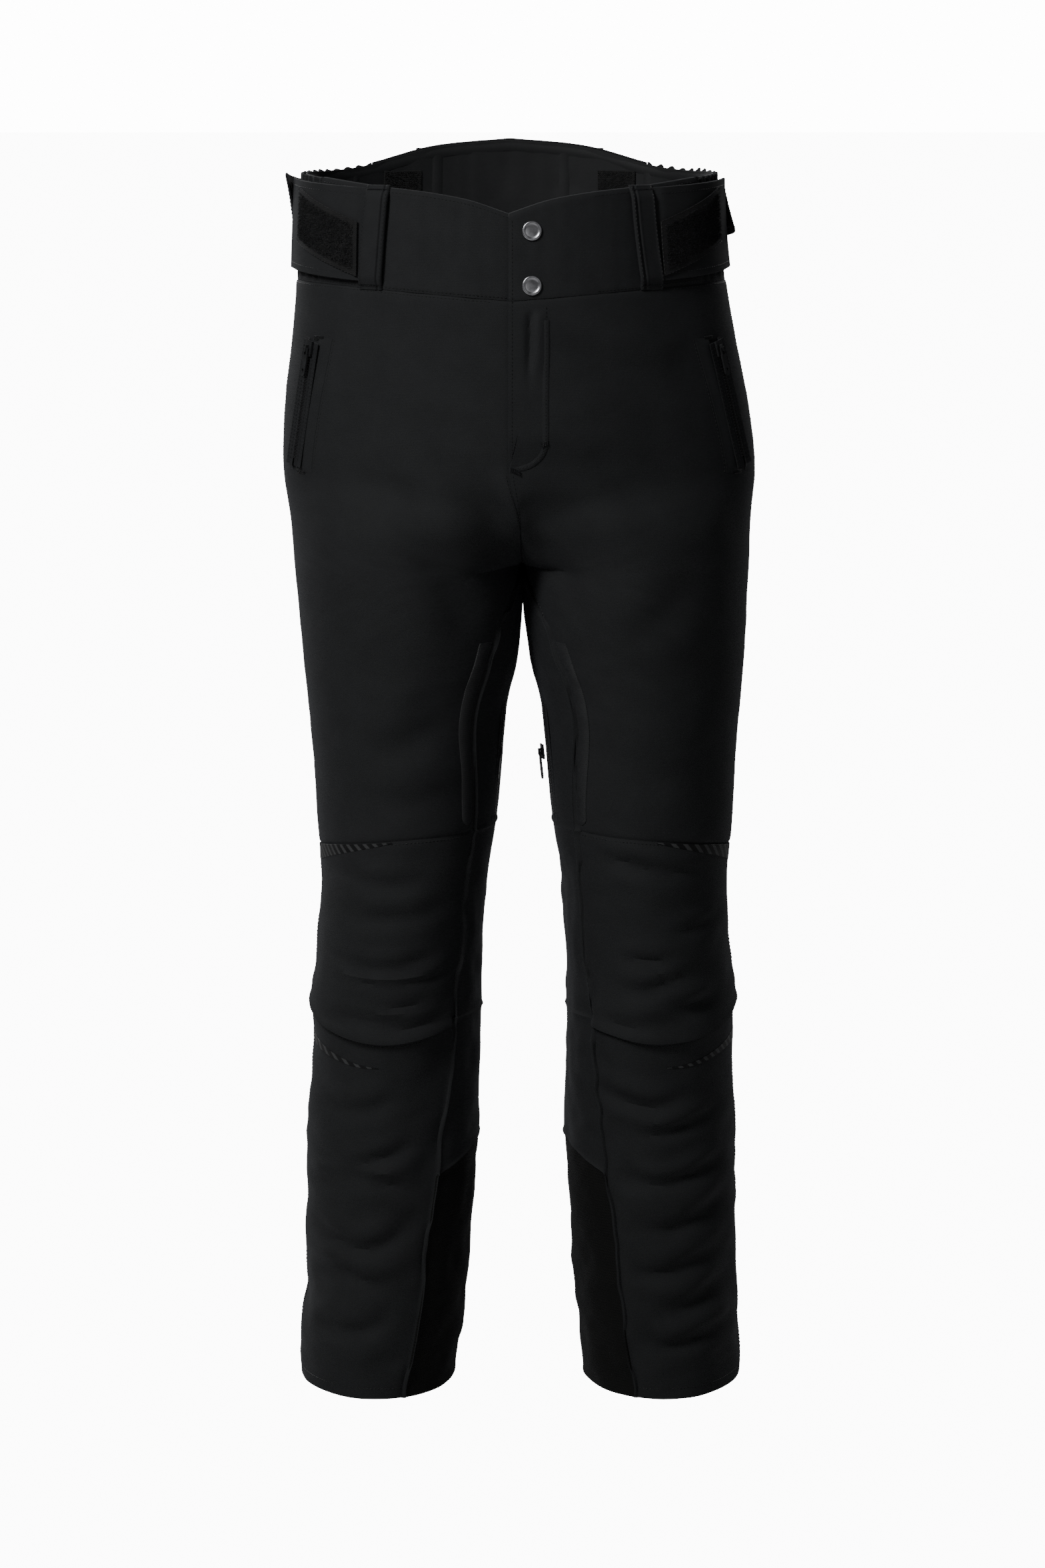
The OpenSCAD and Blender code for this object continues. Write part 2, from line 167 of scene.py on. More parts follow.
# Seam heights at t, from the waistband's seam down to the hem
KEYS = [lambda t: spline([[0, -106], [0.2, -98], [1, -100]], t)[..., 0],
        lambda t: HIP + 0 * t,
        lambda t: CROTCH + 0 * t,
        lambda t: spline([[0, -562], [0.18, -565], [0.35, -573], [0.5, -583], [0.7, -588], [0.88, -577],
                          [1, -562]], t)[..., 0],
        lambda t: spline([[0, -727], [0.18, -738], [0.35, -731], [0.5, -715], [0.7, -716], [0.88, -723],
                          [1, -727]], t)[..., 0],
        lambda t: -865 + 0 * t,
        lambda t: HEM + 0 * t]
ROWS = [24, 20, 34, 26, 20, 30]
START = np.concatenate([[0], np.cumsum(ROWS)])
NR, NT, NI = START[-1], 64, 14
FORK = START[2]


def row_z(row, t):
    """Height of a row, which may be a fraction, at t."""
    row, t = np.broadcast_arrays(np.asarray(row, float), np.asarray(t, float))
    k = np.clip(np.searchsorted(START, row, side="right") - 1, 0, len(ROWS) - 1)
    f = (row - START[k]) / np.array(ROWS)[k]
    f = np.where(k == 1, np.sin(np.pi / 2 * f), f)
    z = np.stack([key(t) for key in KEYS], -1)
    a = np.take_along_axis(z, k[..., None], -1)[..., 0]
    b = np.take_along_axis(z, k[..., None] + 1, -1)[..., 0]
    return mix(a, b, f)


def z_row(z, t):
    """The row at a height, the other way round."""
    z, t = np.broadcast_arrays(np.asarray(z, float), np.asarray(t, float))
    keys = np.stack([key(t) for key in KEYS], -1)
    k = np.clip((keys[..., 1:-1] >= z[..., None]).sum(-1), 0, len(ROWS) - 1)
    a = np.take_along_axis(keys, k[..., None], -1)[..., 0]
    b = np.take_along_axis(keys, k[..., None] + 1, -1)[..., 0]
    f = np.clip((a - z) / (a - b), 0, 1)
    f = np.where(k == 1, np.arcsin(f) / (np.pi / 2), f)
    return START[k] + f * np.array(ROWS)[k]


# ---------------------------------------------------------------------------------------------
# Noise and folds
# ---------------------------------------------------------------------------------------------
def hash3(i, j, k):
    n = (i * 374761393 + j * 668265263 + k * 2147483647 + 974634777) & 0xFFFFFFFF
    n = ((n ^ (n >> 13)) * 1274126177) & 0xFFFFFFFF
    return ((n ^ (n >> 16)) & 0xFFFF) / 65535.0


def noise(p, scale, seed=0):
    """Smooth value noise from -1 to 1, at points in millimetres; scale is the grain's size."""
    q = np.asarray(p, float) / np.asarray(scale, float) + 101.7 + 17.3 * seed
    i = np.floor(q).astype(np.int64)
    f = smooth(q - i)
    total = 0
    for a in (0, 1):
        for b in (0, 1):
            for c in (0, 1):
                w = ((f[..., 0] if a else 1 - f[..., 0]) * (f[..., 1] if b else 1 - f[..., 1])
                     * (f[..., 2] if c else 1 - f[..., 2]))
                total = total + w * hash3(i[..., 0] + a, i[..., 1] + b, i[..., 2] + c)
    return 2 * total - 1


# Folds: face (f front, b back), width, depth, and the valley's line as x, z. A fold is a valley
# with a soft ridge above it.
FOLDS = [
    # hips and crotch
    ("f", 17, 3.2, [(-95, -196), (-62, -232), (-38, -270), (-22, -296), (-8, -318)]),
    ("f", 20, 3.6, [(-118, -248), (-92, -290), (-66, -335), (-48, -376), (-37, -410)]),
    ("f", 15, 2.6, [(-50, -230), (-28, -262), (-12, -290)]),
    ("f", 10, 3.4, [(-44, -238), (-31, -258), (-19, -283), (-4, -308)]),
    ("f", 22, 3.0, [(29, -135), (62, -152), (95, -170), (122, -188)]),
    ("f", 16, 2.4, [(20, -262), (44, -288), (70, -322), (92, -372)]),
    ("f", 11, 2.6, [(8, -300), (26, -318), (44, -346), (52, -380)]),
    ("f", 20, 2.2, [(150, -330), (120, -372), (84, -400)]),
    ("f", 24, 2.2, [(-60, -455), (-95, -480), (-140, -492)]),
    ("f", 22, 2.0, [(60, -470), (100, -505), (150, -515)]),
    ("f", 18, 1.8, [(-50, -520), (-90, -535), (-130, -530)]),
    # knees
    ("f", 8, 2.6, [(-168, -590), (-140, -600), (-110, -603), (-76, -596)]),
    ("f", 10, 2.8, [(-170, -622), (-132, -634), (-96, -632), (-62, -622)]),
    ("f", 8, 3.4, [(-172, -664), (-142, -676), (-108, -678), (-66, -664)]),
    ("f", 7, 3.2, [(-168, -682), (-138, -694), (-104, -694), (-60, -678)]),
    ("f", 7, 2.8, [(-160, -700), (-128, -710), (-96, -708), (-62, -694)]),
    ("f", 6, 2.0, [(-94, -697), (-72, -686), (-52, -673)]),
    ("f", 9, 3.4, [(-174, -722), (-140, -726), (-96, -728), (-58, -716)]),
    ("f", 8, 3.4, [(64, -578), (88, -586), (110, -594), (130, -606)]),
    ("f", 8, 3.0, [(86, -579), (120, -590), (160, -600)]),
    ("f", 7, 3.0, [(84, -668), (110, -672), (136, -670)]),
    ("f", 8, 3.4, [(86, -690), (104, -699), (122, -692), (160, -680)]),
    ("f", 7, 2.4, [(124, -650), (150, -644), (172, -640)]),
    ("f", 8, 2.8, [(118, -706), (146, -712), (172, -706)]),
    ("f", 9, 3.0, [(62, -722), (96, -728), (140, -722), (172, -712)]),
    # shins
    ("f", 10, 3.0, [(43, -695), (52, -725), (62, -752), (73, -778)]),
    ("f", 9, 3.0, [(56, -783), (84, -793), (114, -798), (150, -790)]),
    ("f", 9, 3.0, [(100, -826), (134, -822), (176, -806)]),
    ("f", 9, 3.6, [(86, -862), (118, -872), (150, -866), (184, -846)]),
    ("f", 11, 3.0, [(96, -905), (128, -912), (160, -900), (188, -880)]),
    ("f", 11, 2.6, [(90, -948), (130, -952), (180, -930)]),
    ("f", 12, 2.8, [(110, -990), (146, -984), (186, -966)]),
    ("f", 10, 2.4, [(112, -1020), (150, -1014), (190, -1000)]),
    ("f", 10, 2.6, [(-176, -800), (-142, -806), (-104, -790)]),
    ("f", 9, 3.2, [(-186, -846), (-150, -856), (-116, -846), (-88, -830)]),
    ("f", 9, 3.0, [(-184, -880), (-152, -868), (-118, -872), (-90, -886)]),
    ("f", 11, 3.4, [(-184, -912), (-150, -930), (-116, -924), (-92, -906)]),
    ("f", 11, 3.0, [(-184, -962), (-150, -955), (-114, -966)]),
    ("f", 12, 3.0, [(-186, -1000), (-150, -1006), (-112, -992)]),
    ("f", 9, 1.8, [(-74, -900), (-66, -940), (-84, -985)]),
    ("f", 9, 1.8, [(82, -905), (76, -950), (92, -1000)]),
    # seat and back of the legs
    ("b", 20, 3.2, [(-130, -318), (-88, -342), (-44, -336), (-12, -318)]),
    ("b", 20, 3.2, [(130, -322), (88, -346), (44, -338), (12, -320)]),
    ("b", 17, 2.6, [(-120, -250), (-70, -282), (-20, -300)]),
    ("b", 17, 2.6, [(112, -262), (64, -290), (18, -304)]),
    ("b", 16, 2.6, [(-150, -385), (-104, -402), (-60, -392)]),
    ("b", 16, 2.6, [(152, -392), (108, -408), (62, -396)]),
    ("b", 15, 2.4, [(-60, -470), (-104, -492), (-150, -488)]),
    ("b", 15, 2.4, [(60, -486), (104, -506), (152, -500)]),
    ("b", 9, 4.0, [(-176, -634), (-140, -648), (-96, -648), (-58, -636)]),
    ("b", 8, 4.2, [(-176, -662), (-138, -672), (-98, -674), (-56, -660)]),
    ("b", 8, 3.8, [(-172, -690), (-136, -698), (-96, -700), (-60, -688)]),
    ("b", 9, 4.0, [(176, -638), (138, -650), (98, -652), (58, -640)]),
    ("b", 8, 4.2, [(176, -668), (138, -678), (96, -676), (56, -664)]),
    ("b", 8, 3.8, [(174, -696), (134, -704), (94, -702), (60, -692)]),
    ("b", 9, 3.0, [(-170, -610), (-120, -600), (-74, -606)]),
    ("b", 9, 3.0, [(170, -614), (120, -604), (74, -610)]),
    ("b", 11, 3.2, [(-180, -742), (-130, -752), (-78, -740)]),
    ("b", 11, 3.2, [(180, -746), (130, -756), (78, -744)]),
    ("b", 11, 3.0, [(-180, -800), (-140, -826), (-90, -836)]),
    ("b", 11, 3.0, [(180, -806), (140, -830), (90, -842)]),
    ("b", 11, 3.4, [(-184, -880), (-136, -900), (-84, -892)]),
    ("b", 11, 3.4, [(184, -884), (136, -904), (84, -898)]),
    ("b", 12, 3.2, [(-186, -944), (-136, -962), (-88, -950)]),
    ("b", 12, 3.2, [(186, -950), (136, -968), (88, -956)]),
    ("b", 12, 2.8, [(-186, -1004), (-140, -1014), (-92, -1000)]),
    ("b", 12, 2.8, [(186, -1008), (140, -1018), (92, -1006)]),
]


def line_distance(x, z, line):
    """Distance to a bent line, the side it lies on (1 above), and how far along, from 0 to 1."""
    line = np.array(line, float)
    fine = spline(np.column_stack([np.arange(len(line)), line]).tolist(), np.linspace(0, len(line) - 1, SAMPLES))
    best = np.full(x.shape, 1e9)
    sign = np.zeros(x.shape)
    along = np.zeros(x.shape)
    for i in range(len(fine) - 1):
        a, d = fine[i], fine[i + 1] - fine[i]
        u = np.clip(((x - a[0]) * d[0] + (z - a[1]) * d[1]) / (d @ d), 0, 1)
        dx, dz = x - a[0] - u * d[0], z - a[1] - u * d[1]
        r = np.hypot(dx, dz)
        near = r < best
        best = np.where(near, r, best)
        up = np.sign(d[0]) if d[0] else 1
        sign = np.where(near, np.sign(d[0] * dz - d[1] * dx) * up, sign)
        along = np.where(near, (i + u) / (len(fine) - 1), along)
    return best, sign, along


GAIN = {"back": 0.95, "shin": 1.45, "knee": 1.15, "thigh": 1.3}


def folds(p, n):
    """How far each point moves along its normal."""
    push = np.zeros(p.shape[:-1])
    x, z = p[..., 0], p[..., 2]
    wob = 3.0 * noise(p, 34, 3)
    for face, width, depth, line in FOLDS:
        front = smooth(((-n[..., 1]) if face == "f" else n[..., 1]) * 2.2 + 0.35)
        xs = [q[0] for q in line]
        zs = [q[1] for q in line]
        m = 4 * width
        near = (x > min(xs) - m) & (x < max(xs) + m) & (z > min(zs) - m) & (z < max(zs) + m) & (front > 0)
        if not near.any():
            continue
        r, sign, along = line_distance(x[near], z[near] + wob[near], line)
        d = r * sign
        fade = np.sin(np.pi * np.clip(along, 0.0, 1.0)) ** 0.5 * np.exp(-np.clip(r - 2 * width, 0, None) / width)
        ends = smooth(np.minimum(along, 1 - along) / 0.22)
        v = -np.exp(-(d / (0.62 * width)) ** 2) + 0.75 * np.exp(-((d - 1.35 * width) / (0.95 * width)) ** 2) \
            + 0.35 * np.exp(-((d + 1.6 * width) / (1.1 * width)) ** 2)
        part = "back" if face == "b" else "shin" if zs[0] < -740 else "knee" if zs[0] < -560 else "thigh"
        push[near] += GAIN[part] * depth * v * fade * (0.25 + 0.75 * ends) * front[near]
    return push


def calm(p):
    """1 where cloth may fold, down to 0 at the zips, the waist seam and the fly."""
    x, y, z = p[..., 0], p[..., 1], p[..., 2]
    k = smooth((-104 - z) / 40.0)
    k = k * (1 - (y < 0) * smooth((-z) / 100.0) * smooth((z + 262) / 26.0) * smooth((42 - np.abs(x - 6)) / 26.0))
    pocket = np.abs(np.abs(x - sway(z)) - np.interp(z, [-250, -150], [190, 166]))
    k = k * (1 - (y < 0) * smooth((z + 272) / 24.0) * smooth((26 - pocket) / 14.0))
    vent = smooth((z + 600) / 22.0) * smooth((-430 - z) / 22.0) * smooth((52 - np.abs(x)) / 10.0) * (y < 40)
    return k * (1 - vent)


# ---------------------------------------------------------------------------------------------
# One joined cloth over both legs and the hips, folded and relaxed, then cut into panels
# ---------------------------------------------------------------------------------------------
def face_normals(v, f):
    n = np.cross(v[f[:, 2]] - v[f[:, 0]], v[f[:, 3]] - v[f[:, 1]])
    out = np.zeros_like(v)
    for c in range(4):
        for a in range(3):
            out[:, a] += np.bincount(f[:, c], n[:, a], len(v))
    return out / np.maximum(np.linalg.norm(out, axis=1), 1e-9)[:, None]


def joined_cloth():
    T = np.linspace(0, 1, NT + 1)
    U = np.linspace(0, 1, NI + 1)
    rows = np.arange(NR + 1)
    Z = row_z(rows[:, None], T[None, :])
    zi = row_z(np.arange(FORK, NR + 1), 0.0)
    blocks = []
    for side in (LEFT, RIGHT):
        blocks.append((side, "outer", to_world(skin(T[None, :], Z), side)))
        blocks.append((side, "inner", to_world(inner_skin(U[None, :], zi[:, None]), side)))
    points = np.concatenate([b[2].reshape(-1, 3) for b in blocks])
    _, first, back = np.unique(np.round(points / 0.02).astype(np.int64), axis=0, return_index=True,
                                  return_inverse=True)
    back = back.reshape(-1)
    verts = points[first]
    faces, maps, at = [], {}, 0
    for side, kind, grid in blocks:
        nj, ni = grid.shape[:2]
        idx = back[at:at + nj * ni].reshape(nj, ni)
        at += nj * ni
        maps[side, kind] = idx
        a, b, c, d = idx[:-1, :-1], idx[:-1, 1:], idx[1:, 1:], idx[1:, :-1]
        q = np.stack([a, d, c, b] if (side > 0) == (kind == "outer") else [a, b, c, d], -1).reshape(-1, 4)
        faces.append(q)
    faces = np.concatenate(faces)
    n = face_normals(verts, faces)
    centre = np.stack([np.sign(verts[:, 0]) * 105, 0 * verts[:, 0], verts[:, 2]], -1)
    if ((verts - centre) * n).sum() < 0:
        faces = faces[:, ::-1]
        n = -n
    return verts, faces, n, maps


FARTHEST = 9.0  # a point's longest way in the simulation
FRAMES = 24


def relax(verts, faces, start, hold):
    """Blender's cloth: the cloth is a little longer than the legs, so that it buckles into small
    natural folds round the placed ones. hold is how firmly each point keeps its place."""
    mesh = bpy.data.meshes.new("cloth_start")
    polys = [list(dict.fromkeys(f.tolist())) for f in faces]
    mesh.from_pydata((start * 0.001).tolist(), [], [p for p in polys if len(p) > 2])
    mesh.update()
    obj = bpy.data.objects.new("cloth_start", mesh)
    bpy.context.scene.collection.objects.link(obj)
    group = obj.vertex_groups.new(name="hold")
    for level in range(1, 41):
        pick = np.nonzero(np.round(hold * 40).astype(int) == level)[0]
        if len(pick):
            group.add(pick.tolist(), level / 40, "REPLACE")
    obj.shape_key_add(name="Basis")
    key = obj.shape_key_add(name="cut")
    z = verts[:, 2]
    steps = np.linspace(0, -1080, 400)
    slack = 0.012 + 0.045 * np.exp(-((steps + 668) / 60) ** 2) + 0.035 * smooth((-760 - steps) / 60) \
        + 0.012 * np.exp(-((steps + 360) / 60) ** 2)
    longer = np.concatenate([[0], np.cumsum(slack[:-1]) * (steps[0] - steps[1])])
    cut = verts.copy()
    cut[:, 2] -= np.interp(-z, -steps, longer)
    key.data.foreach_set("co", (cut * 0.001).ravel())
    mod = obj.modifiers.new("Cloth", "CLOTH")
    for what, value in dict(
            quality=4, mass=0.15, tension_stiffness=30, compression_stiffness=30, shear_stiffness=12,
            bending_stiffness=6, tension_damping=10, compression_damping=10, shear_damping=10, bending_damping=2,
            air_damping=4, pin_stiffness=1.2, vertex_group_mass="hold", rest_shape_key=key).items():
        setattr(mod.settings, what, value)
    mod.settings.effector_weights.gravity = 0.15
    mod.collision_settings.use_collision = False
    mod.point_cache.frame_start = 1
    mod.point_cache.frame_end = FRAMES
    scene = bpy.context.scene
    for k in range(1, FRAMES + 1):
        scene.frame_set(k)
    got = obj.evaluated_get(bpy.context.evaluated_depsgraph_get()).to_mesh()
    out = np.zeros(len(verts) * 3)
    got.vertices.foreach_get("co", out)
    out = out.reshape(-1, 3) * 1000
    bpy.data.objects.remove(obj)
    bpy.data.meshes.remove(mesh)
    scene.frame_set(1)
    move = out - start
    far = np.linalg.norm(move, axis=1)
    return start + move * np.minimum(1, FARTHEST / np.maximum(far, 1e-6))[:, None]


verts, faces, normals, maps = joined_cloth()
quiet = calm(verts)
below_knee = smooth((-560 - verts[:, 2]) / 60)
push = folds(verts, normals) * quiet
push += (1.2 * noise(verts, (46, 46, 30), 1) + 0.7 * noise(verts, (20, 20, 12), 2)) * quiet * (0.6 + 0.8 * below_knee)
start = verts + normals * push[:, None]
hold = np.clip(0.10 + 0.9 * (1 - quiet), 0, 1)
hold = np.maximum(hold, smooth((verts[:, 2] + 112) / 8))          # at the waistband
hold = np.maximum(hold, 0.5 * smooth((-1040 - verts[:, 2]) / 20))  # at the hem
start = relax(verts, faces, start, hold)
for (side, kind), idx in maps.items():
    if kind == "outer":
        for _ in range(2):  # smooths the moves round the leg, which keeps the level folds
            move = (start - verts)[idx]
            soft = 0.5 * move[:, 1:-1] + 0.25 * (move[:, 2:] + move[:, :-2])
            start[idx[:, 1:-1]] = verts[idx[:, 1:-1]] + soft

normals = face_normals(start, faces)
CLOTH = {key: (start[idx], normals[idx]) for key, idx in maps.items()}


def taps(x, n):
    i = np.clip(np.floor(x).astype(int), 0, n - 1)
    u = x - i
    k = np.clip(np.stack([i - 1, i, i + 1, i + 2], -1), 0, n)
    w = 0.5 * np.stack([-u ** 3 + 2 * u ** 2 - u, 3 * u ** 3 - 5 * u ** 2 + 2, -3 * u ** 3 + 4 * u ** 2 + u,
                        u ** 3 - u ** 2], -1)
    return k, w


def sample(grid, r, c):
    kr, wr = taps(r, grid.shape[0] - 1)
    kc, wc = taps(c, grid.shape[1] - 1)
    out = 0
    for a in range(4):
        for b in range(4):
            out = out + (wr[..., a] * wc[..., b])[..., None] * grid[kr[..., a], kc[..., b]]
    return out


def cloth(side, a, z, kind="outer"):
    """Points and normals of the folded cloth. a is t on the outer panels and u on the inner one."""
    a, z = np.broadcast_arrays(np.asarray(a, float), np.asarray(z, float))
    if kind == "inner":
        X, n = CLOTH[side, kind]
        r = z_row(z, 0 * a) - FORK
        p, q = sample(X, r, a * NI), sample(n, r, a * NI)
    else:
        over = (a < 0) | (a > 1)
        t = np.where(a < 0, -a, np.where(a > 1, 2 - a, a))
        r = z_row(z, t)
        X, n = CLOTH[side, kind]
        p, q = sample(X, r, t * NT), sample(n, r, t * NT)
        if over.any():
            X, n = CLOTH[-side, kind]
            p = np.where(over[..., None], sample(X, r, t * NT), p)
            q = np.where(over[..., None], sample(n, r, t * NT), q)
    return p, q / np.linalg.norm(q, axis=-1, keepdims=True)


def band(side, t, z):
    """Points and normals of the waistband's surface, above the cloth; t may pass the seams."""
    t, z = np.broadcast_arrays(np.asarray(t, float), np.asarray(z, float))

    def at(a, b):
        over = (a < 0) | (a > 1)
        u = np.where(a < 0, -a, np.where(a > 1, 2 - a, a))
        p = np.concatenate([pelvis(u, b), b[..., None]], -1)
        p[..., 0] = np.where(over, -side, side) * p[..., 0] + sway(b)
        return p
    p = at(t, z)
    n = np.cross(at(t + 0.003, z) - at(t - 0.003, z), at(t, z + 1) - at(t, z - 1)) * side
    return p, n / np.linalg.norm(n, axis=-1, keepdims=True)


def t_at(x, z):
    """t where the front has the world x."""
    return np.arcsin(np.clip((x - sway(z)) / spline(PELVIS, z)[..., 0], -1, 1)) / np.pi


def top_z(t):
    return spline(TOP, np.abs(np.asarray(t, float)))[..., 0]


def lapel(z):
    return mix(-9.0, 40.0, (z + 246) / 212.0)


def lap(t, z):
    return LIFT * (1 - smooth((t - 0.08) / 0.2)) * smooth((z + 249) / 34)


# ---------------------------------------------------------------------------------------------
# Rigs and materials
# ---------------------------------------------------------------------------------------------
TAB_X = {"tab_left": 0.14207, "tab_right": -0.16007}


def rig(obj, where):
    """A body's name, or tab_left or tab_right for a pull tab. Pieces on the waist or an adjuster hang from that
    body's empty; the pull tabs, the flap and the legs are only baked in place, and the flap's fold line is worked out
    but not used."""
    if where == "waist" or where.startswith("adjuster"):
        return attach(obj, where)
    if where in TAB_X:
        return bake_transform(obj)
    if where == "flap":
        a, b = (np.array([lapel(z), 0, z]) for z in (-246.0, -34.0))
        for p in (a, b):
            p[1] = band(LEFT, t_at(p[0], p[2]), p[2])[0][1]
        up = unit(b - a)
        away = np.cross(up, [0, -1, 0])
        away = unit(away) * (1 if away[0] < 0 else -1)
        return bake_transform(obj)
    part, name = where.split("_")
    if part == "thigh":
        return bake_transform(obj)
    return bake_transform(obj)


def node(tree, kind, **values):
    n = tree.nodes.new(kind)
    for k, v in values.items():
        if k in n.inputs:
            n.inputs[k].default_value = v
        else:
            setattr(n, k, v)
    return n


def material(name):
    m = bpy.data.materials.new(name)
    m.use_nodes = True
    t = m.node_tree
    t.nodes.clear()
    out = t.nodes.new("ShaderNodeOutputMaterial")
    b = t.nodes.new("ShaderNodeBsdfPrincipled")
    t.links.new(b.outputs[0], out.inputs[0])
    return m, t, b


def ramp(tree, source, stops):
    r = tree.nodes.new("ShaderNodeValToRGB")
    tree.links.new(source, r.inputs[0])
    while len(r.color_ramp.elements) < len(stops):
        r.color_ramp.elements.new(0.5)
    for e, (at, c) in zip(r.color_ramp.elements, stops):
        e.position = at
        e.color = (*c, 1)
    return r.outputs[0]


def math_node(tree, op, a, b=None):
    n = tree.nodes.new("ShaderNodeMath")
    n.operation = op
    for i, v in enumerate((a, b)):
        if v is None:
            continue
        if isinstance(v, (int, float)):
            n.inputs[i].default_value = v
        else:
            tree.links.new(v, n.inputs[i])
    return n.outputs[0]


def roughen(tree, shader, source, low, high):
    r = node(tree, "ShaderNodeMapRange", **{"To Min": low, "To Max": high})
    tree.links.new(source, r.inputs["Value"])
    tree.links.new(r.outputs[0], shader.inputs["Roughness"])


def emboss(tree, shader, height, strength, distance):
    bump = node(tree, "ShaderNodeBump", Strength=strength, Distance=distance)
    tree.links.new(height, bump.inputs["Height"])
    tree.links.new(bump.outputs[0], shader.inputs["Normal"])


def fabric(name, colour, yarn=0.0007, rough=0.82, relief=0.35, sheen=0.25, spread=0.16, specular=0.25, twill=1.0,
           tint=(0.45, 0.47, 0.55)):
    """Woven cloth: diagonal twill ribs from the UV map, in metres, slubs, and soft mottling."""
    m, t, b = material(name)
    uv = node(t, "ShaderNodeUVMap", uv_map="UVMap").outputs[0]
    size = 0.31 / yarn
    weave = node(t, "ShaderNodeTexWave", Scale=size, Distortion=0.6, Detail=1.0)
    weave.inputs["Detail Scale"].default_value = 2.0
    weave.wave_type = "BANDS"
    weave.bands_direction = "DIAGONAL" if twill else "X"
    cross = node(t, "ShaderNodeTexWave", Scale=size * 0.55, Distortion=0.4, Detail=1.0)
    cross.bands_direction = "Y"
    slub = node(t, "ShaderNodeTexNoise", Scale=1 / (yarn * 5), Detail=3.0, Roughness=0.6)
    mottle = node(t, "ShaderNodeTexNoise", Scale=38.0, Detail=4.0, Roughness=0.55)
    for n in (weave, cross, slub, mottle):
        t.links.new(uv, n.inputs["Vector"])
    height = math_node(t, "ADD", math_node(t, "MULTIPLY", weave.outputs["Fac"], 0.6),
                       math_node(t, "MULTIPLY", cross.outputs["Fac"], 0.4))
    height = math_node(t, "ADD", height, math_node(t, "MULTIPLY", slub.outputs["Fac"], 0.9))
    emboss(t, b, height, relief, yarn * 0.5)
    shade = math_node(t, "ADD", math_node(t, "MULTIPLY", mottle.outputs["Fac"], 0.6),
                      math_node(t, "MULTIPLY", slub.outputs["Fac"], 0.4))
    c = np.array(colour)
    t.links.new(ramp(t, shade, [(0.3, tuple(c * (1 - spread))), (0.7, tuple(c * (1 + spread)))]),
                b.inputs["Base Color"])
    roughen(t, b, slub.outputs["Fac"], rough - 0.06, rough + 0.06)
    b.inputs["Specular IOR Level"].default_value = specular
    b.inputs["Sheen Weight"].default_value = sheen
    b.inputs["Sheen Roughness"].default_value = 0.45
    b.inputs["Sheen Tint"].default_value = (*tint, 1)
    return m


def metal(name, colour, rough, metallic=1.0, specular=0.5):
    """Metal or moulded plastic with fine scratches and worn patches."""
    m, t, b = material(name)
    co = node(t, "ShaderNodeTexCoord").outputs["Object"]
    fine = node(t, "ShaderNodeTexNoise", Scale=900.0, Detail=3.0)
    wear = node(t, "ShaderNodeTexNoise", Scale=160.0, Detail=4.0)
    for n in (fine, wear):
        t.links.new(co, n.inputs["Vector"])
    c = np.array(colour)
    t.links.new(ramp(t, wear.outputs["Fac"], [(0.35, tuple(c * 0.82)), (0.7, tuple(c * 1.15))]), b.inputs["Base Color"])
    roughen(t, b, wear.outputs["Fac"], rough * 0.7, rough * 1.4)
    emboss(t, b, fine.outputs["Fac"], 0.07, 0.00005)
    b.inputs["Metallic"].default_value = metallic
    b.inputs["Specular IOR Level"].default_value = specular
    return m


SHELL = fabric("shell_fabric", (0.0152, 0.0159, 0.0168), sheen=0.05, specular=0.22)
GUARD = fabric("scuff_twill", (0.0078, 0.0078, 0.0074), yarn=0.0013, relief=0.7, rough=0.85, sheen=0.02,
               specular=0.12, spread=0.14)
ELASTIC = fabric("elastic_rib", (0.0115, 0.012, 0.0128), yarn=0.0013, relief=0.6, sheen=0.05, twill=0)
LINING = fabric("lining", (0.0125, 0.013, 0.0138), yarn=0.0006, rough=0.66, relief=0.2, sheen=0.05, specular=0.3)
TAPE = fabric("zip_tape", (0.0105, 0.011, 0.012), yarn=0.0006, relief=0.5, sheen=0.05, twill=0)
PILE = fabric("loop_pile", (0.012, 0.0121, 0.0118), yarn=0.0009, relief=0.9, rough=0.9, sheen=0.12, spread=0.5)
THREAD = fabric("thread", (0.0130, 0.0135, 0.014), yarn=0.0004, rough=0.5, relief=0.3, sheen=0.05, specular=0.4)
PLACKET = fabric("placket_tape", (0.0162, 0.0169, 0.0178), yarn=0.0009, rough=0.6, relief=0.4, sheen=0.05,
                 specular=0.35)
GUNMETAL = metal("gunmetal", (0.5, 0.5, 0.52), 0.3)
DARK_METAL = metal("dark_metal", (0.05, 0.05, 0.055), 0.38)
TEETH = metal("moulded_teeth", (0.012, 0.012, 0.013), 0.42, metallic=0.0, specular=0.45)
COATED = metal("coated_pull", (0.015, 0.0155, 0.0165), 0.42, metallic=0.0, specular=0.45)


def strip_material():
    """Glossy transfer with slanting stripes."""
    m, t, b = material("gloss_strip")
    uv = node(t, "ShaderNodeUVMap", uv_map="UVMap").outputs[0]
    wave = node(t, "ShaderNodeTexWave", Scale=0.31 / 0.0052, Distortion=0.0)
    wave.bands_direction = "DIAGONAL"
    grain = node(t, "ShaderNodeTexNoise", Scale=700.0, Detail=3.0)
    for n in (wave, grain):
        t.links.new(uv, n.inputs["Vector"])
    t.links.new(ramp(t, wave.outputs["Fac"], [(0.55, (0.005, 0.005, 0.0055)), (0.7, (0.045, 0.046, 0.047))]),
                b.inputs["Base Color"])
    roughen(t, b, grain.outputs["Fac"], 0.5, 0.62)
    emboss(t, b, wave.outputs["Fac"], 0.25, 0.0002)
    b.inputs["Specular IOR Level"].default_value = 0.22
    return m


STRIP = strip_material()


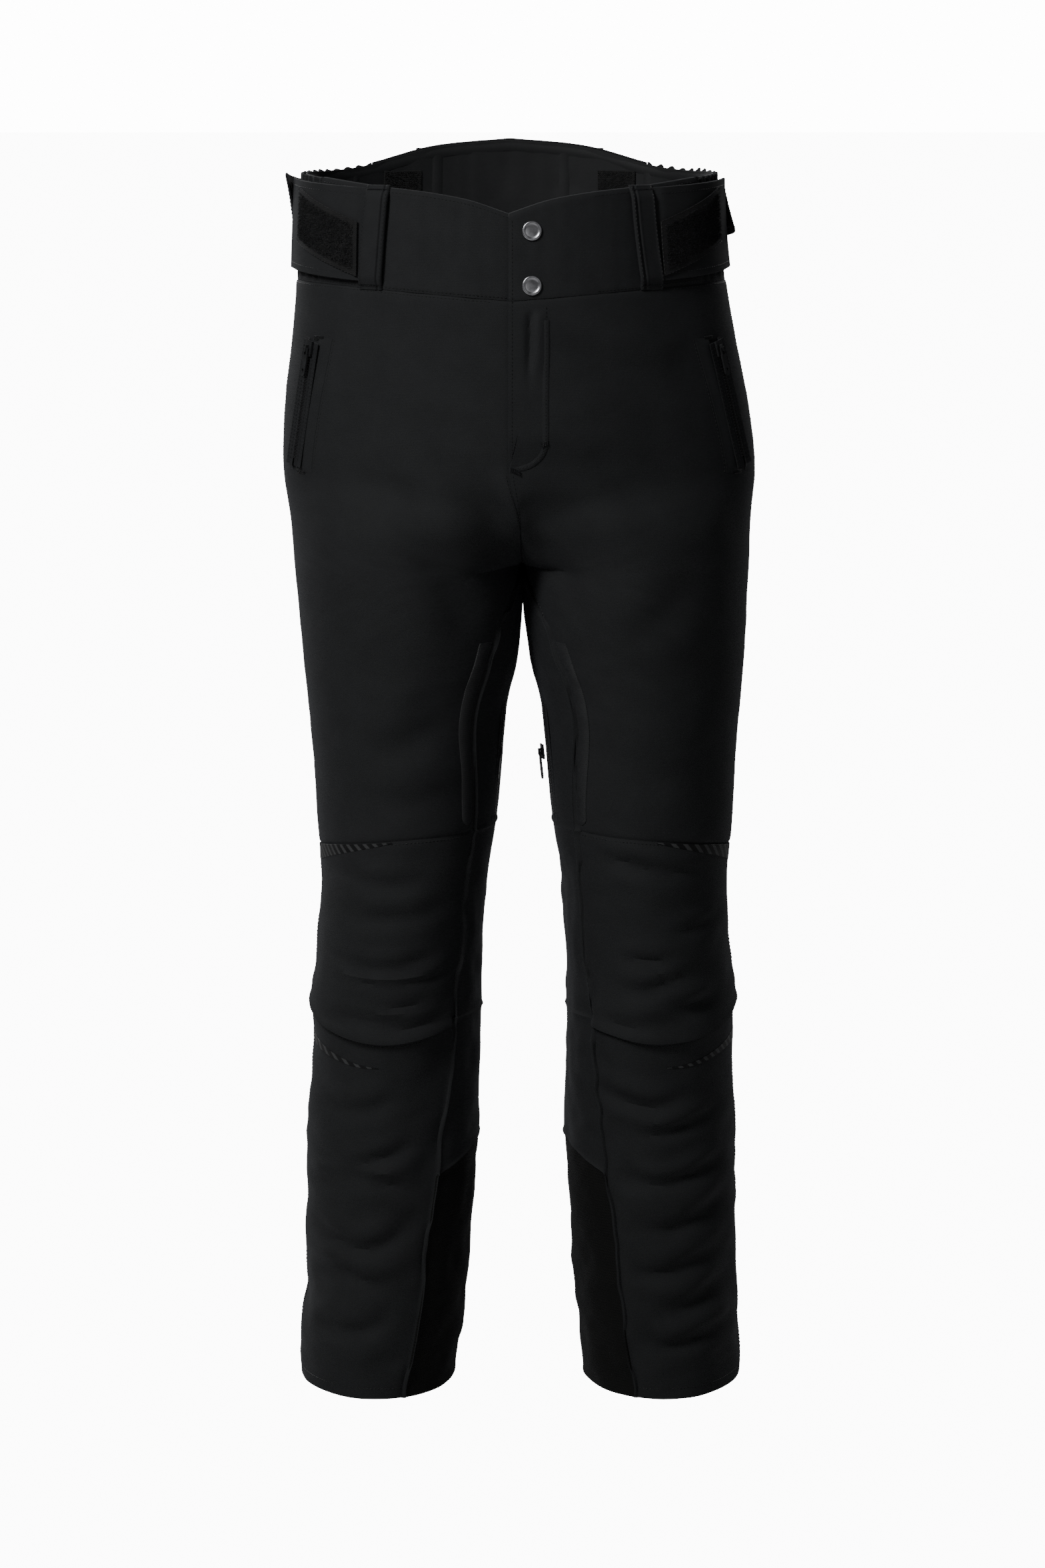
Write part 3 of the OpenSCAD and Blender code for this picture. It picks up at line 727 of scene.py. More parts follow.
# ---------------------------------------------------------------------------------------------
# Mesh builders
# ---------------------------------------------------------------------------------------------
def finish_mesh(name, points, faces, uv, mat, where, sharp=38):
    mesh = bpy.data.meshes.new(name)
    mesh.from_pydata((np.asarray(points) * 0.001).tolist(), [], faces)
    layer = mesh.uv_layers.new(name="UVMap")
    loops = np.zeros(len(mesh.loops), int)
    mesh.loops.foreach_get("vertex_index", loops)
    layer.data.foreach_set("uv", np.asarray(uv, float)[loops].ravel())
    mesh.polygons.foreach_set("use_smooth", [True] * len(mesh.polygons))
    mesh.set_sharp_from_angle(angle=math.radians(sharp))
    mesh.materials.append(mat)
    mesh.update()
    obj = bpy.data.objects.new(name, mesh)
    bpy.context.scene.collection.objects.link(obj)
    rig(obj, where)
    return obj


def shell(outer, inner, uv):
    """A closed sheet from two grids: points, faces and UVs. Rims are rounded by a middle row."""
    nj, ni = outer.shape[:2]
    n = nj * ni
    a = np.arange(n).reshape(nj, ni)
    quads = np.concatenate([
        np.stack([a[:-1, :-1], a[:-1, 1:], a[1:, 1:], a[1:, :-1]], -1).reshape(-1, 4),
        np.stack([a[:-1, :-1], a[1:, :-1], a[1:, 1:], a[:-1, 1:]], -1).reshape(-1, 4) + n])
    ring = np.concatenate([a[0, :-1], a[:-1, -1], a[-1, :0:-1], a[:0:-1, 0]])
    flat_o, flat_i = outer.reshape(-1, 3), inner.reshape(-1, 3)
    c = 2 * n + np.arange(len(ring))
    nxt = np.roll(np.arange(len(ring)), -1)
    rim = np.concatenate([np.stack([ring[nxt], ring, c, c[nxt]], -1),
                          np.stack([c[nxt], c, ring + n, ring[nxt] + n], -1)])
    into = np.zeros((nj, ni, 3))
    into[0] += outer[0] - outer[1]
    into[-1] += outer[-1] - outer[-2]
    into[:, 0] += outer[:, 0] - outer[:, 1]
    into[:, -1] += outer[:, -1] - outer[:, -2]
    into = into.reshape(-1, 3)[ring]
    into = into / np.maximum(np.linalg.norm(into, axis=1), 1e-9)[:, None]
    thick = np.linalg.norm(flat_o[ring] - flat_i[ring], axis=1)[:, None]
    mid = (flat_o[ring] + flat_i[ring]) / 2 + into * thick * 0.28
    points = np.concatenate([flat_o, flat_i, mid])
    uv = uv.reshape(-1, 2)
    return points, np.concatenate([quads, rim]), np.concatenate([uv, uv, uv[ring]])


def orient(quads, outer, normal):
    """Turns all faces over if the outer grid faces inwards."""
    j, i = outer.shape[0] // 2, outer.shape[1] // 2
    n = np.cross(outer[j, i] - outer[j - 1, i], outer[j, i] - outer[j, i - 1])
    return quads if n @ normal[j, i] < 0 else quads[:, ::-1]


NEAR = np.array([0, 0.8, 1.8, 3.2, 5.2, 7.8])  # a panel's first columns and rows, from its border


def columns(width, step):
    """Shares of a panel's width, close together at its two borders. width is one number a row."""
    room = width - 2 * NEAR[-1]
    count = max(2, int(round(room.max() / step)))
    k = np.minimum(1, 0.3 * width / NEAR[-1])[:, None]
    left = NEAR[None, :] * k / width[:, None]
    mid = left[:, -1:] + (1 - 2 * left[:, -1:]) * np.linspace(0, 1, count + 1)[None, 1:-1]
    return np.concatenate([left, mid, 1 - left[:, ::-1]], 1)


def seam_dip(d, deep=0.9, puff=0.2):
    """Cloth drawn down at a seam and standing up a little beside it."""
    return -deep * np.exp(-(d / 1.5) ** 2) + puff * np.exp(-((d - 7.0) / 4.0) ** 2)


def arc(points):
    """Length along each row of a grid."""
    d = np.linalg.norm(np.diff(points, axis=1), axis=-1)
    return np.concatenate([np.zeros((len(points), 1)), np.cumsum(d, 1)], 1)


def panel(name, side, kind, a0, a1, z0, z1, where, mat, step=4.6, thick=2.6, off=0.0, dips=(1, 1, 1, 1),
          replaces=(), lift=None):
    """A cloth panel between borders a0(z), a1(z) and heights z0(a), z1(a), top to bottom.
    dips are the seams at its a0, a1, z0 and z1 borders."""
    mid = np.array(0.5)
    za = np.array([float(z0(mid)), float(z1(mid))])
    rows = max(3, int(round((za[0] - za[1]) / step)))
    tall = za[0] - za[1]
    near = NEAR * min(1, 0.3 * tall / NEAR[-1])
    f = np.concatenate([near / tall, np.linspace(near[-1] / tall, 1 - near[-1] / tall, rows + 1)[1:-1],
                        1 - near[::-1] / tall])
    zc = mix(za[0], za[1], f)[:, None]
    A = mix(a0(zc), a1(zc), np.linspace(0, 1, 40)[None, :])
    width = arc(cloth(side, A, zc + 0 * A, kind)[0])[:, -1]
    c = columns(np.maximum(width, 1.0), step)
    A = mix(a0(zc), a1(zc), c)
    Z = mix(z0(A), z1(A), f[:, None])
    A = mix(a0(Z), a1(Z), c)
    Z = mix(z0(A), z1(A), f[:, None])
    p, n = cloth(side, A, Z, kind)
    w = width[:, None]
    d = np.zeros(A.shape)
    for dip, away in zip(dips, (c * w, (1 - c) * w, f[:, None] * tall, (1 - f[:, None]) * tall)):
        if dip:
            d += seam_dip(away, dip)
    d += off
    if lift is not None:
        d += lift(A, Z)
    outer = p + n * d[..., None]
    inner = p + n * (d - thick)[..., None]
    along = np.stack([arc(p) * 0.001, Z * 0.001], -1)
    points, quads, uv = shell(outer, inner, along)
    quads = orient(quads, outer, n)
    obj = finish_mesh(name, points, quads.tolist(), uv, mat, where)
    if replaces:
        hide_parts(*replaces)
    return obj


def plain(name, outer, normal, thick, where, mat, replaces=(), uv=None):
    """A closed sheet straight from a grid of points."""
    uv = np.stack([arc(outer) * 0.001, outer[..., 2] * 0.001], -1) if uv is None else uv
    points, quads, uv = shell(outer, outer - normal * thick, uv)
    quads = orient(quads, outer, normal)
    obj = finish_mesh(name, points, quads.tolist(), uv, mat, where)
    if replaces:
        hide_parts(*replaces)
    return obj


STITCHES = {}


def stitch(where, p, n, pitch=3.3, share=0.72, r=0.33, proud=0.12):
    """A row of stitches along a line of points, kept until all the rows of a rig are known."""
    d = np.linalg.norm(np.diff(p, axis=0), axis=1)
    s = np.concatenate([[0], np.cumsum(d)])
    count = int(s[-1] / pitch)
    if count < 1:
        return
    mid = (np.arange(count) + 0.5) * s[-1] / count
    ends = []
    for k in (-0.5, 0, 0.5):
        at = mid + k * pitch * share
        ends.append(np.stack([np.interp(at, s, p[:, i]) for i in range(3)], -1))
    nn = np.stack([np.interp(mid, s, n[:, i]) for i in range(3)], -1)
    nn = nn / np.linalg.norm(nn, axis=1, keepdims=True)
    along = ends[2] - ends[0]
    side = np.cross(along, nn)
    side = side / np.maximum(np.linalg.norm(side, axis=1, keepdims=True), 1e-9)
    top = ends[1] + nn * (r + proud)
    v = np.stack([ends[0] - nn * 0.1, ends[2] - nn * 0.1, top, ends[1] + side * r + nn * proud * 0.5,
                  ends[1] - side * r + nn * proud * 0.5, ends[1] - nn * 0.3], 1)
    STITCHES.setdefault(where, []).append(v)


def write_stitches():
    tri = np.array([[0, 3, 2], [0, 2, 4], [0, 4, 5], [0, 5, 3], [1, 2, 3], [1, 4, 2], [1, 5, 4], [1, 3, 5]])
    for where, rows in STITCHES.items():
        v = np.concatenate(rows)
        f = (tri[None] + 6 * np.arange(len(v))[:, None, None]).reshape(-1, 3)
        p = v.reshape(-1, 3)
        uv = np.stack([p[:, 0] + p[:, 1], p[:, 2]], -1) * 0.001
        finish_mesh(f"stitching_{where}", p, f.tolist(), uv, THREAD, where, sharp=80)


def run(side, a, z, kind="outer", off=0.0, count=240):
    """A dense line on the cloth through a few (a, z) points."""
    k = np.linspace(0, 1, len(np.atleast_1d(a)))
    q = np.linspace(0, 1, count)
    p, n = cloth(side, np.interp(q, k, a), np.interp(q, k, z), kind)
    return p + n * off, n


# ---------------------------------------------------------------------------------------------
# Cloth panels
# ---------------------------------------------------------------------------------------------
def flat(v):
    return lambda x: v + 0 * np.asarray(x, float)


def front_border(side):
    """The front panel's inner border: the fold of the flap or the fly, then the centre seam."""
    def at(z):
        z = np.asarray(z, float)
        low = t_at(-9.0, HIP) * np.clip((z - CROTCH) / (HIP - CROTCH), 0, 1)
        if side > 0:
            high = t_at(lapel(z), z)
            return np.where(z > -246, high, low)
        high = -t_at(mix(-9.0, -1.0, smooth((z + 246) / 34)), z)
        return np.where(z > HIP, high, -low)
    return at


def buckle(t, z):
    """The fly's layers are pushed into an upright crease under the lower snap."""
    x = spline(PELVIS, z)[..., 0] * np.sin(np.pi * t) + sway(z)
    crease = np.exp(-((x - 8 - 0.02 * (z + 140)) / 3.2) ** 2) - 0.6 * np.exp(-((x - 15) / 5.0) ** 2)
    return -3.0 * crease * smooth((-112 - z) / 10) * smooth((z + 178) / 30)


def left_lift(t, z):
    return lap(np.maximum(t, 0), z) + buckle(t, z)


def fold_over(a, z):
    """The knee panel's lower edge stands out over the shin."""
    d = z - (KEYS[4](a) - 5)
    return 4.0 * np.exp(-(d / 8.0) ** 2) + 2.0 * np.exp(-((d - 15) / 9.0) ** 2)


def guard_top(u):
    return -865 + 22 * (1 - np.abs(2 * np.asarray(u, float) - 1) ** 1.6)


for side, name in SIDES:
    thigh, shin = f"thigh_{name}", f"shin_{name}"
    panel(f"front_panel_{name}", side, "outer", front_border(side), flat(0.5), KEYS[0], KEYS[3], thigh, SHELL,
          dips=(0 if side > 0 else 0.5, 1, 1, 1.1), lift=left_lift if side > 0 else None,
          replaces=(f"hip_front_{name}", f"groin_{name}", f"thigh_front_{name}"))
    panel(f"back_panel_{name}", side, "outer", flat(0.5), flat(1.0), KEYS[0], KEYS[3], thigh, SHELL,
          replaces=(f"seat_{name}", f"thigh_back_{name}"))
    panel(f"inner_thigh_panel_{name}", side, "inner", flat(0.0), flat(1.0), flat(-337.0), flat(-562.0), thigh, SHELL,
          replaces=(f"inner_thigh_{name}",))
    panel(f"knee_panel_{name}", side, "outer", flat(0.0), flat(0.5), KEYS[3], lambda a: KEYS[4](a) - 5, shin, SHELL,
          dips=(1, 1, 1, 0), lift=fold_over, replaces=(f"knee_{name}",))
    panel(f"knee_back_{name}", side, "outer", flat(0.5), flat(1.0), KEYS[3], KEYS[4], shin, SHELL)
    panel(f"knee_inner_{name}", side, "inner", flat(0.0), flat(1.0), flat(-562.0), flat(-727.0), shin, SHELL)
    panel(f"shin_panel_{name}", side, "outer", flat(0.0), flat(0.5), KEYS[4], flat(HEM), shin, SHELL,
          dips=(1, 1, 0.8, 0), replaces=(f"shin_front_{name}",))
    panel(f"calf_panel_{name}", side, "outer", flat(0.5), flat(1.0), KEYS[4], flat(HEM), shin, SHELL,
          dips=(1, 1, 1, 0), replaces=(f"calf_{name}",))
    panel(f"inner_shin_panel_{name}", side, "inner", flat(0.0), flat(1.0), flat(-727.0), guard_top, shin, SHELL,
          replaces=(f"inner_shin_{name}",))
    panel(f"guard_panel_{name}", side, "inner", flat(0.0), flat(1.0), guard_top, flat(HEM), shin, GUARD,
          dips=(1, 1, 0.7, 0), off=0.5, replaces=(f"scuff_guard_{name}",))

# Stitching on the panels
for side, name in SIDES:
    thigh, shin = f"thigh_{name}", f"shin_{name}"

    def per_mm(z):
        """Share of a per millimetre."""
        p = cloth(side, np.linspace(0.02, 0.48, 20), z)[0]
        return 0.46 / np.linalg.norm(np.diff(p, axis=0), axis=1).sum()

    def along_seam(body, seam, way, distance, z, count):
        """Stitches beside an upright seam: on its side way, at a distance in millimetres."""
        a = np.array([float(seam(h)) + way * distance * per_mm(h) for h in z])
        stitch(body, *run(side, a, z, off=0.1, count=count))

    upper, lower = np.linspace(-104, -560, 60), np.linspace(-566, -1058, 60)
    for d in (2.2, 6.4):
        a = np.array([0.5 + d * per_mm(z) for z in upper])
        stitch(thigh, *run(side, a, upper - 2, off=0.1, count=600))
        a = np.array([0.5 + d * per_mm(z) for z in lower])
        stitch(shin, *run(side, a, lower - 22 * (lower > -600), off=0.1, count=600))
        along_seam(thigh, flat(1.0), -1, d, np.linspace(-104, -332, 60), 400)
    along_seam(thigh, flat(0.0), 1, 2.0, np.linspace(-345, -560, 50), 500)
    along_seam(shin, flat(0.0), 1, 2.0, np.linspace(-568, -1058, 80), 700)
    along_seam(thigh, front_border(side), 1, 2.0, np.linspace(-250, -332, 20), 200)
    for a0, a1 in ((0.01, 0.49), (0.51, 0.99)):
        a = np.linspace(a0, a1, 60)
        for z in (KEYS[3](a) - 2.4, HEM + 9 + 0 * a, KEYS[4](a) - (8 if a0 < 0.4 else 2.4)):
            stitch(shin, *run(side, a, z, off=0.1, count=600))
        a = np.linspace(max(a0, 0.14 if side > 0 else 0.03), a1, 40)
        stitch(thigh, *run(side, a, KEYS[0](a) - 2.4, off=0.1, count=400))
    u = np.linspace(0.03, 0.97, 40)
    for z in (guard_top(u) - 2.2, guard_top(u) - 6.0, HEM + 9 + 0 * u):
        stitch(shin, *run(side, u, z, "inner", off=0.7, count=300))
    z = np.linspace(-872, -1055, 30)
    width = np.array([2.2 * np.radians(2 * gusset(h)) * 40 for h in z])
    for edge, way in ((0.0, 1), (1.0, -1)):
        for d in (2.2, 5.6):
            stitch(shin, *run(side, edge + way * d / width, z, "inner", off=0.7, count=300))

# Fly: the J-shaped seam on the left front
jz = np.concatenate([np.linspace(-110, -222, 20), -222 - 24 * np.sin(np.linspace(0.05, 1, 12) * np.pi / 2)])
jx = np.concatenate([np.full(20, 21.0), -9 + 30 * np.cos(np.linspace(0.05, 1, 12) * np.pi / 2)])
jt = t_at(jx, jz)
p, n = run(LEFT, jt, jz, count=500)
jl = left_lift(*(np.interp(np.linspace(0, 1, 500), np.linspace(0, 1, len(jt)), v) for v in (jt, jz)))
stitch("thigh_left", p + n * (jl[:, None] + 0.75), n)


def ribbon(name, side, a, z, lift, profile, width, where):
    """A narrow raised seam along a line on the cloth."""
    q = np.linspace(0, 1, 160)
    at = np.linspace(0, 1, len(a))
    p, n = cloth(side, np.interp(q, at, a), np.interp(q, at, z))
    p = p + n * np.interp(q, at, lift)[:, None]
    along = unit(np.gradient(p, axis=0))
    across = np.cross(along, n)
    c = np.linspace(0, 1, len(profile))
    outer = p[:, None] + across[:, None] * (width * (c - 0.5))[None, :, None] \
        + n[:, None] * np.array(profile)[None, :, None]
    return plain(name, outer, np.broadcast_to(n[:, None], outer.shape), 0.8, where, SHELL)


keep = jz < -116.5
ribbon("fly_seam", LEFT, jt[keep], jz[keep], left_lift(jt, jz)[keep], (0.15, 0.5, 0.85, 0.7, 0.75, 0.55, 0.3, 0.1), 5.5,
       "thigh_left")


def bar_tack(where, side, a, z, off, length=9.0, tilt=0.0):
    """A dense little satin bar across a seam's end."""
    for k in range(-3, 4):
        dz = 0.55 * k
        q = np.linspace(-0.5, 0.5, 8) * length / 560
        pp, nn = cloth(side, a + q, z + dz + q * 560 * tilt)
        stitch(where, pp + nn * off, nn, pitch=1.5, share=1.5, r=0.32)


bar_tack("thigh_left", LEFT, float(t_at(-4.0, -247.0)), -247.0, 2.2, 8, -0.5)
bar_tack("thigh_left", LEFT, float(t_at(20.0, -224.0)), -224.0, 6.6, 6, 0.4)

# Pockets: a welt along the front of each zip, and a bag inside
for side, name in SIDES:
    def pocket_t(z):
        return 0.35 + 0.03 * (-150 - np.asarray(z, float)) / 94

    f, c = grid(40, 9)
    Z = mix(-141.0, -255.0, f) + 0 * c
    for piece, near, wide, hump, rise, thick in (("pocket_welt", -16.0, 10.8, 1.5 * smooth(c / 0.8), 0.2, 1.4),
                                                 ("pocket_welt_rear", 5.3, 6.5, 0.9 * np.exp(-(c / 0.35) ** 2), 0.1, 1.2)):
        p, n = cloth(side, pocket_t(Z) + (near + wide * c) / 330, Z)
        d = (0.1 + hump + 0 * Z) * smooth(f / 0.05) ** 0.5 * smooth((1 - f) / 0.05) ** 0.5 + rise
        plain(f"{piece}_{name}", p + n * d[..., None], n, thick, "waist", SHELL)
    z = np.linspace(-141, -255, 30)
    for d in (-17.6, 7.5):
        stitch("waist", *run(side, pocket_t(z) + d / 330, z, off=0.1, count=240))
    for z in (-141.0, -255.0):
        bar_tack("waist", side, float(pocket_t(z)) - 0.012, z, 0.4, 16)
    f, c = grid(26, 18)
    half = 0.088 * np.sqrt(np.clip(1 - np.clip((f - 0.6) / 0.4, 0, 1) ** 2.4, 0.02, 1))
    A = 0.31 + half * (2 * c - 1)
    Z = mix(-136.0, -296.0, f) + 0 * c
    p, n = cloth(side, A, Z)
    sag = -8.0 - 2.0 * np.sin(np.pi * c) * np.sin(np.pi * f) - 1.5 * noise(p, (30, 30, 60), 5)
    plain(f"pocket_bag_{name}", p + n * sag[..., None], n, 1.2, "waist", LINING,
          replaces=("pocket_bags",) if side > 0 else ())

# Vent placket: a lighter tape down the inner seam, round at its foot
for side, name in SIDES:
    f, c = grid(60, 11)
    Z = mix(-398.0, -556.0, f)
    w = 12.0 * np.sqrt(np.clip(1 - np.clip((f - 0.955) / 0.045, 0, 1) ** 2, 0.03, 1))
    A = (3.0 + 0.5 * (12 - w) + w * c) / 400
    p, n = cloth(side, A, Z + 0 * c)
    bulge = 0.7 + 1.1 * np.sin(np.pi * c) ** 0.6 * smooth(f / 0.03) * smooth((1 - f) / 0.02) + 0 * f
    plain(f"vent_placket_{name}", p + n * bulge[..., None], n, 1.0, f"thigh_{name}", PLACKET)
    z = np.linspace(-400, -550, 30)
    for d in (4.4, 13.6):
        stitch(f"thigh_{name}", *run(side, d / 400 + 0 * z, z, off=0.95, count=300))

# Gloss strips on the knee and shin panels
for side, name in SIDES:
    for tag, a_in, a_out, top, tall in (("upper", 0.205, 0.545, lambda a: KEYS[3](a) - 0.6, 14.5),
                                        ("lower", 0.2, 0.54, lambda a: -747 - 19 * smooth((0.5 - a) / 0.3), 9.0)):
        f, c = grid(7, 90)
        A = mix(a_in, a_out, c) + 0 * f
        h = tall * np.clip((A - a_in) / (0.5 - a_in), 0.02, 1) ** 0.8 * smooth((a_out - A) / 0.03 + 0.05)
        Z = top(A) - h * f
        p, n = cloth(side, A, Z)
        lift = 0.42 + (fold_over(A, Z) if tag == "upper" else 0)
        plain(f"gloss_strip_{tag}_{name}", p + n * (lift + 0 * A)[..., None], n, 0.3, f"shin_{name}", STRIP,
              uv=np.stack([arc(p) * 0.001 * side, Z * 0.001], -1))


# ---------------------------------------------------------------------------------------------
# Waistband
# ---------------------------------------------------------------------------------------------
def creases(p):
    return 0.55 * noise(p, (15, 15, 70), 7) + 0.35 * noise(p, (7, 7, 26), 8)


def band_sheet(name, side, T, Z, off, thick, where, replaces=()):
    p, n = band(side, T, Z)
    return plain(name, p + n * (off + creases(p) + 0 * T)[..., None], n, thick, where, SHELL,
                 replaces=replaces)


def band_grid(t0, t1, z0, z1, cols=60, rows=22):
    """t0 and t1 may depend on z, z0 and z1 on t; rows crowd towards the two edges."""
    f = 0.5 - 0.5 * np.cos(np.pi * np.linspace(0, 1, rows))[:, None]
    f = 0.55 * f + 0.45 * np.linspace(0, 1, rows)[:, None]
    c = np.linspace(0, 1, cols)[None, :]
    mid = 0.5 * (t0(-70.0) + t1(-70.0))
    Z = mix(z0(mid), z1(mid), f) + 0 * c
    for _ in range(3):
        T = mix(t0(Z), t1(Z), c)
        Z = mix(z0(T), z1(T), f)
    return T, Z, f, c


def band_low(t):
    return KEYS[0](np.minimum(np.abs(t), 2 - np.abs(t))) + 0.3


def roll(f):
    """The folded top edge and the seam at the foot."""
    return -0.9 * np.exp(-(f / 0.02) ** 2) + 0.35 * np.exp(-((f - 0.05) / 0.03) ** 2) \
        - 0.5 * np.exp(-((1 - f) / 0.014) ** 2)


T, Z, f, c = band_grid(lambda z: t_at(lapel(z) + 0.02, z), flat(0.345), top_z, band_low)
band_sheet("waistband_panel_left", LEFT, T, Z, lap(T, Z) + roll(f), 3.0, "waist", replaces=("waistband_left",))
T, Z, f, c = band_grid(lambda z: -t_at(26.0, z), flat(0.345), top_z, band_low, cols=72)
band_sheet("waistband_panel_right", RIGHT, T, Z, roll(f) + 0 * T, 3.0, "waist", replaces=("waistband_right",))
T, Z, f, c = band_grid(lambda z: t_at(-9.0, z), lambda z: t_at(lapel(z) - 0.02, z), top_z, band_low, cols=22)
band_sheet("flap_band", LEFT, T, Z, lap(np.maximum(T, 0), Z) + roll(f) - 0.6 * np.exp(-(c / 0.05) ** 2), 3.0,
           "flap", replaces=("waist_flap",))
T, Z, f, c = band_grid(lambda z: t_at(-9.0, z), lambda z: t_at(lapel(z) - 0.02, z), lambda t: band_low(t) - 0.6,
                       flat(-243.0), cols=16, rows=46)
p, n = band(LEFT, T, Z)
d = left_lift(T, Z) - 0.8 * np.exp(-(f / 0.012) ** 2)
plain("flap_front", p + n * d[..., None], n, 2.6, "flap", SHELL)
T, Z, f, c = band_grid(flat(0.765), flat(1.235), lambda t: top_z(turned(t)), band_low, cols=110)
band_sheet("waistband_panel_back", LEFT, T, Z, roll(f) + 0 * T, 3.0, "waist", replaces=("waistband_back",))

# Gathered elastic at the sides
for side, name in SIDES:
    cols = 230
    f, c = grid(34, cols)
    T = mix(0.338, 0.762, c) + 0 * f
    p, n = band(side, T, -50 + 0 * T)
    s = arc(p)
    jog = noise(np.stack([s, 0 * s, 60 * f + 0 * s], -1), (26, 26, 34), 9)
    uneven = 0.75 + 0.6 * noise(np.stack([s, 0 * s, 0 * s], -1), (17, 17, 17), 4)
    wave = np.sin(2 * np.pi * s / 10.5 + 5.0 * jog) * uneven
    tunnel = np.exp(-(((f * 5) % 1 - 0.5) / 0.07) ** 2)
    Z = mix(top_z(T) - 1 + (1.0 if side < 0 else 2.0) * wave * np.exp(-(f / 0.06) ** 2), band_low(T), f)
    amp = (1.7 - 0.9 * tunnel) * smooth(c / 0.06) * smooth((1 - c) / 0.06) * smooth((1 - f) / 0.08)
    p, n = band(side, T, Z)
    d = amp * wave - 0.6
    plain(f"elastic_panel_{name}", p + n * d[..., None], n, 2.2, "waist", ELASTIC,
          replaces=(f"elastic_{name}",))
    for k in range(5):
        row = int(round((k + 0.5) / 5 * 33))
        stitch("waist", p[row] + n[row] * d[row][:, None], n[row])

# Lining of the back, with its seams and the binding along its top
LINING_SEAMS = {"a": -46, "b": 30, "c": -118, "d": 104}
f, c = grid(30, 170)
T = mix(0.33, 1.67, c) + 0 * f
Z = mix(top_z(turned(T)) - 0.8, band_low(T) + 2, f)
p, n = band(LEFT, T, Z)
groove = sum(np.exp(-((p[..., 0] - x) / 2.2) ** 2) * (p[..., 1] > 0) for x in LINING_SEAMS.values())
fill = -4.2 - 0.9 * np.abs(noise(p, (22, 22, 44), 11)) + 0.6 * groove
plain("waist_lining", p + n * fill[..., None], n, 1.0, "waist", LINING)
for letter, x in LINING_SEAMS.items():
    t = 1 - np.sign(x) * float(t_at(abs(x) - sway(-30.0), -30.0))
    top = float(top_z(turned(t))) - 8
    for d in (-3.2, 3.2):
        z = np.linspace(top, -94, 80)
        p, n = band(LEFT, t + d / 560 + 0 * z, z)
        stitch("waist", p - n * 5.5, -n, r=0.36)
    f = np.linspace(0, 1, 30)[:, None]
    q = np.linspace(-1, 1, 9)[None, :]
    p, n = band(LEFT, t + 4.6 * q / 560 + 0 * f, mix(top, -95, f) + 0 * q)
    plain(f"lining_seam_{letter}", p - n * (5.15 + 0.5 * (1 - q ** 2))[..., None], n, 0.4, "waist", LINING)
f = np.linspace(0, 1, 6)[:, None]
Z = top_z(turned(T[:1])) - 3.0 - 7.0 * f
p, n = band(LEFT, T[:1] + 0 * f, Z)
d = -5.0 - 0.35 * np.sin(np.pi * f) + 0 * Z
plain("waist_binding", p + n * d[..., None], n, 0.6, "waist", LINING)

# Band stitching
k = np.linspace(0, 1, 500)
for side, t0, t1 in ((LEFT, 0.125, 0.34), (RIGHT, 0.0, 0.34), (LEFT, 0.77, 1.23)):
    t = mix(t0, t1, k)
    u = turned(t)
    for z in (top_z(u) - 3.4, band_low(t) + 2.2) + ((top_z(u) - 7.0,) if t0 > 0.5 else ()):
        p, n = band(side, t, z)
        d = (lap(t, z) if side > 0 and t0 < 0.5 else 0 * t) + 0.35 + creases(p)
        stitch("waist", p + n * d[:, None], n)
z = mix(-39.0, -240.0, k)
p, n = band(LEFT, t_at(-6.6, z), z)
stitch("flap", p + n * (lap(0 * z, z) + 0.15)[:, None], n)


# ---------------------------------------------------------------------------------------------
# Belt loops, straps, patches and adjusters
# ---------------------------------------------------------------------------------------------
def belt_loop(name, side, t, top, low, lean, ends, replaces=()):
    f, c = grid(44, 31)
    q = 2 * c - 1
    Z = mix(top, low, f) + 0 * c
    lift = ends + 4.2 * smooth(f / 0.13) ** 0.8 * smooth((1 - f) / 0.13) ** 0.8
    T = t + lean * (f - 0.5) + 0.0215 * q
    base = lap(T, Z) * (side > 0) * (t < 0.5)
    p, n = band(side, T, Z)
    edge = 0.5 * np.exp(-((np.abs(q) - 0.86) / 0.09) ** 2) - 1.1 * np.exp(-((q + 0.62) / 0.055) ** 2) \
        + 0.4 * np.exp(-((q + 0.45) / 0.1) ** 2) - 0.5 * (np.abs(q) > 0.98)
    d = base + lift + edge + 0.25 * noise(p, (8, 8, 20), 12)
    plain(name, p + n * d[..., None], n, 1.9, "waist", SHELL, replaces=replaces)
    for i in (2, 28):
        stitch("waist", p[:, i] + n[:, i] * (d[:, i] + 0.05)[:, None], n[:, i])
    for j in (2, 41):
        for dz in (-0.9, -0.3, 0.3, 0.9):
            line = p[j] + n[j] * (d[j] + 0.05)[:, None] + np.array([0, 0, dz])
            stitch("waist", line, n[j], pitch=1.6, share=1.5, r=0.24)


for side, name in SIDES:
    belt_loop(f"front_loop_{name}", side, 0.2155, -11.5, -98.0, 0.012, 0.9, (f"belt_loop_front_{name}",))
    belt_loop(f"back_loop_{name}", side, 0.87, 12.0, -98.5, 0.0, 0.9, ("belt_loops_back",) if side > 0 else ())


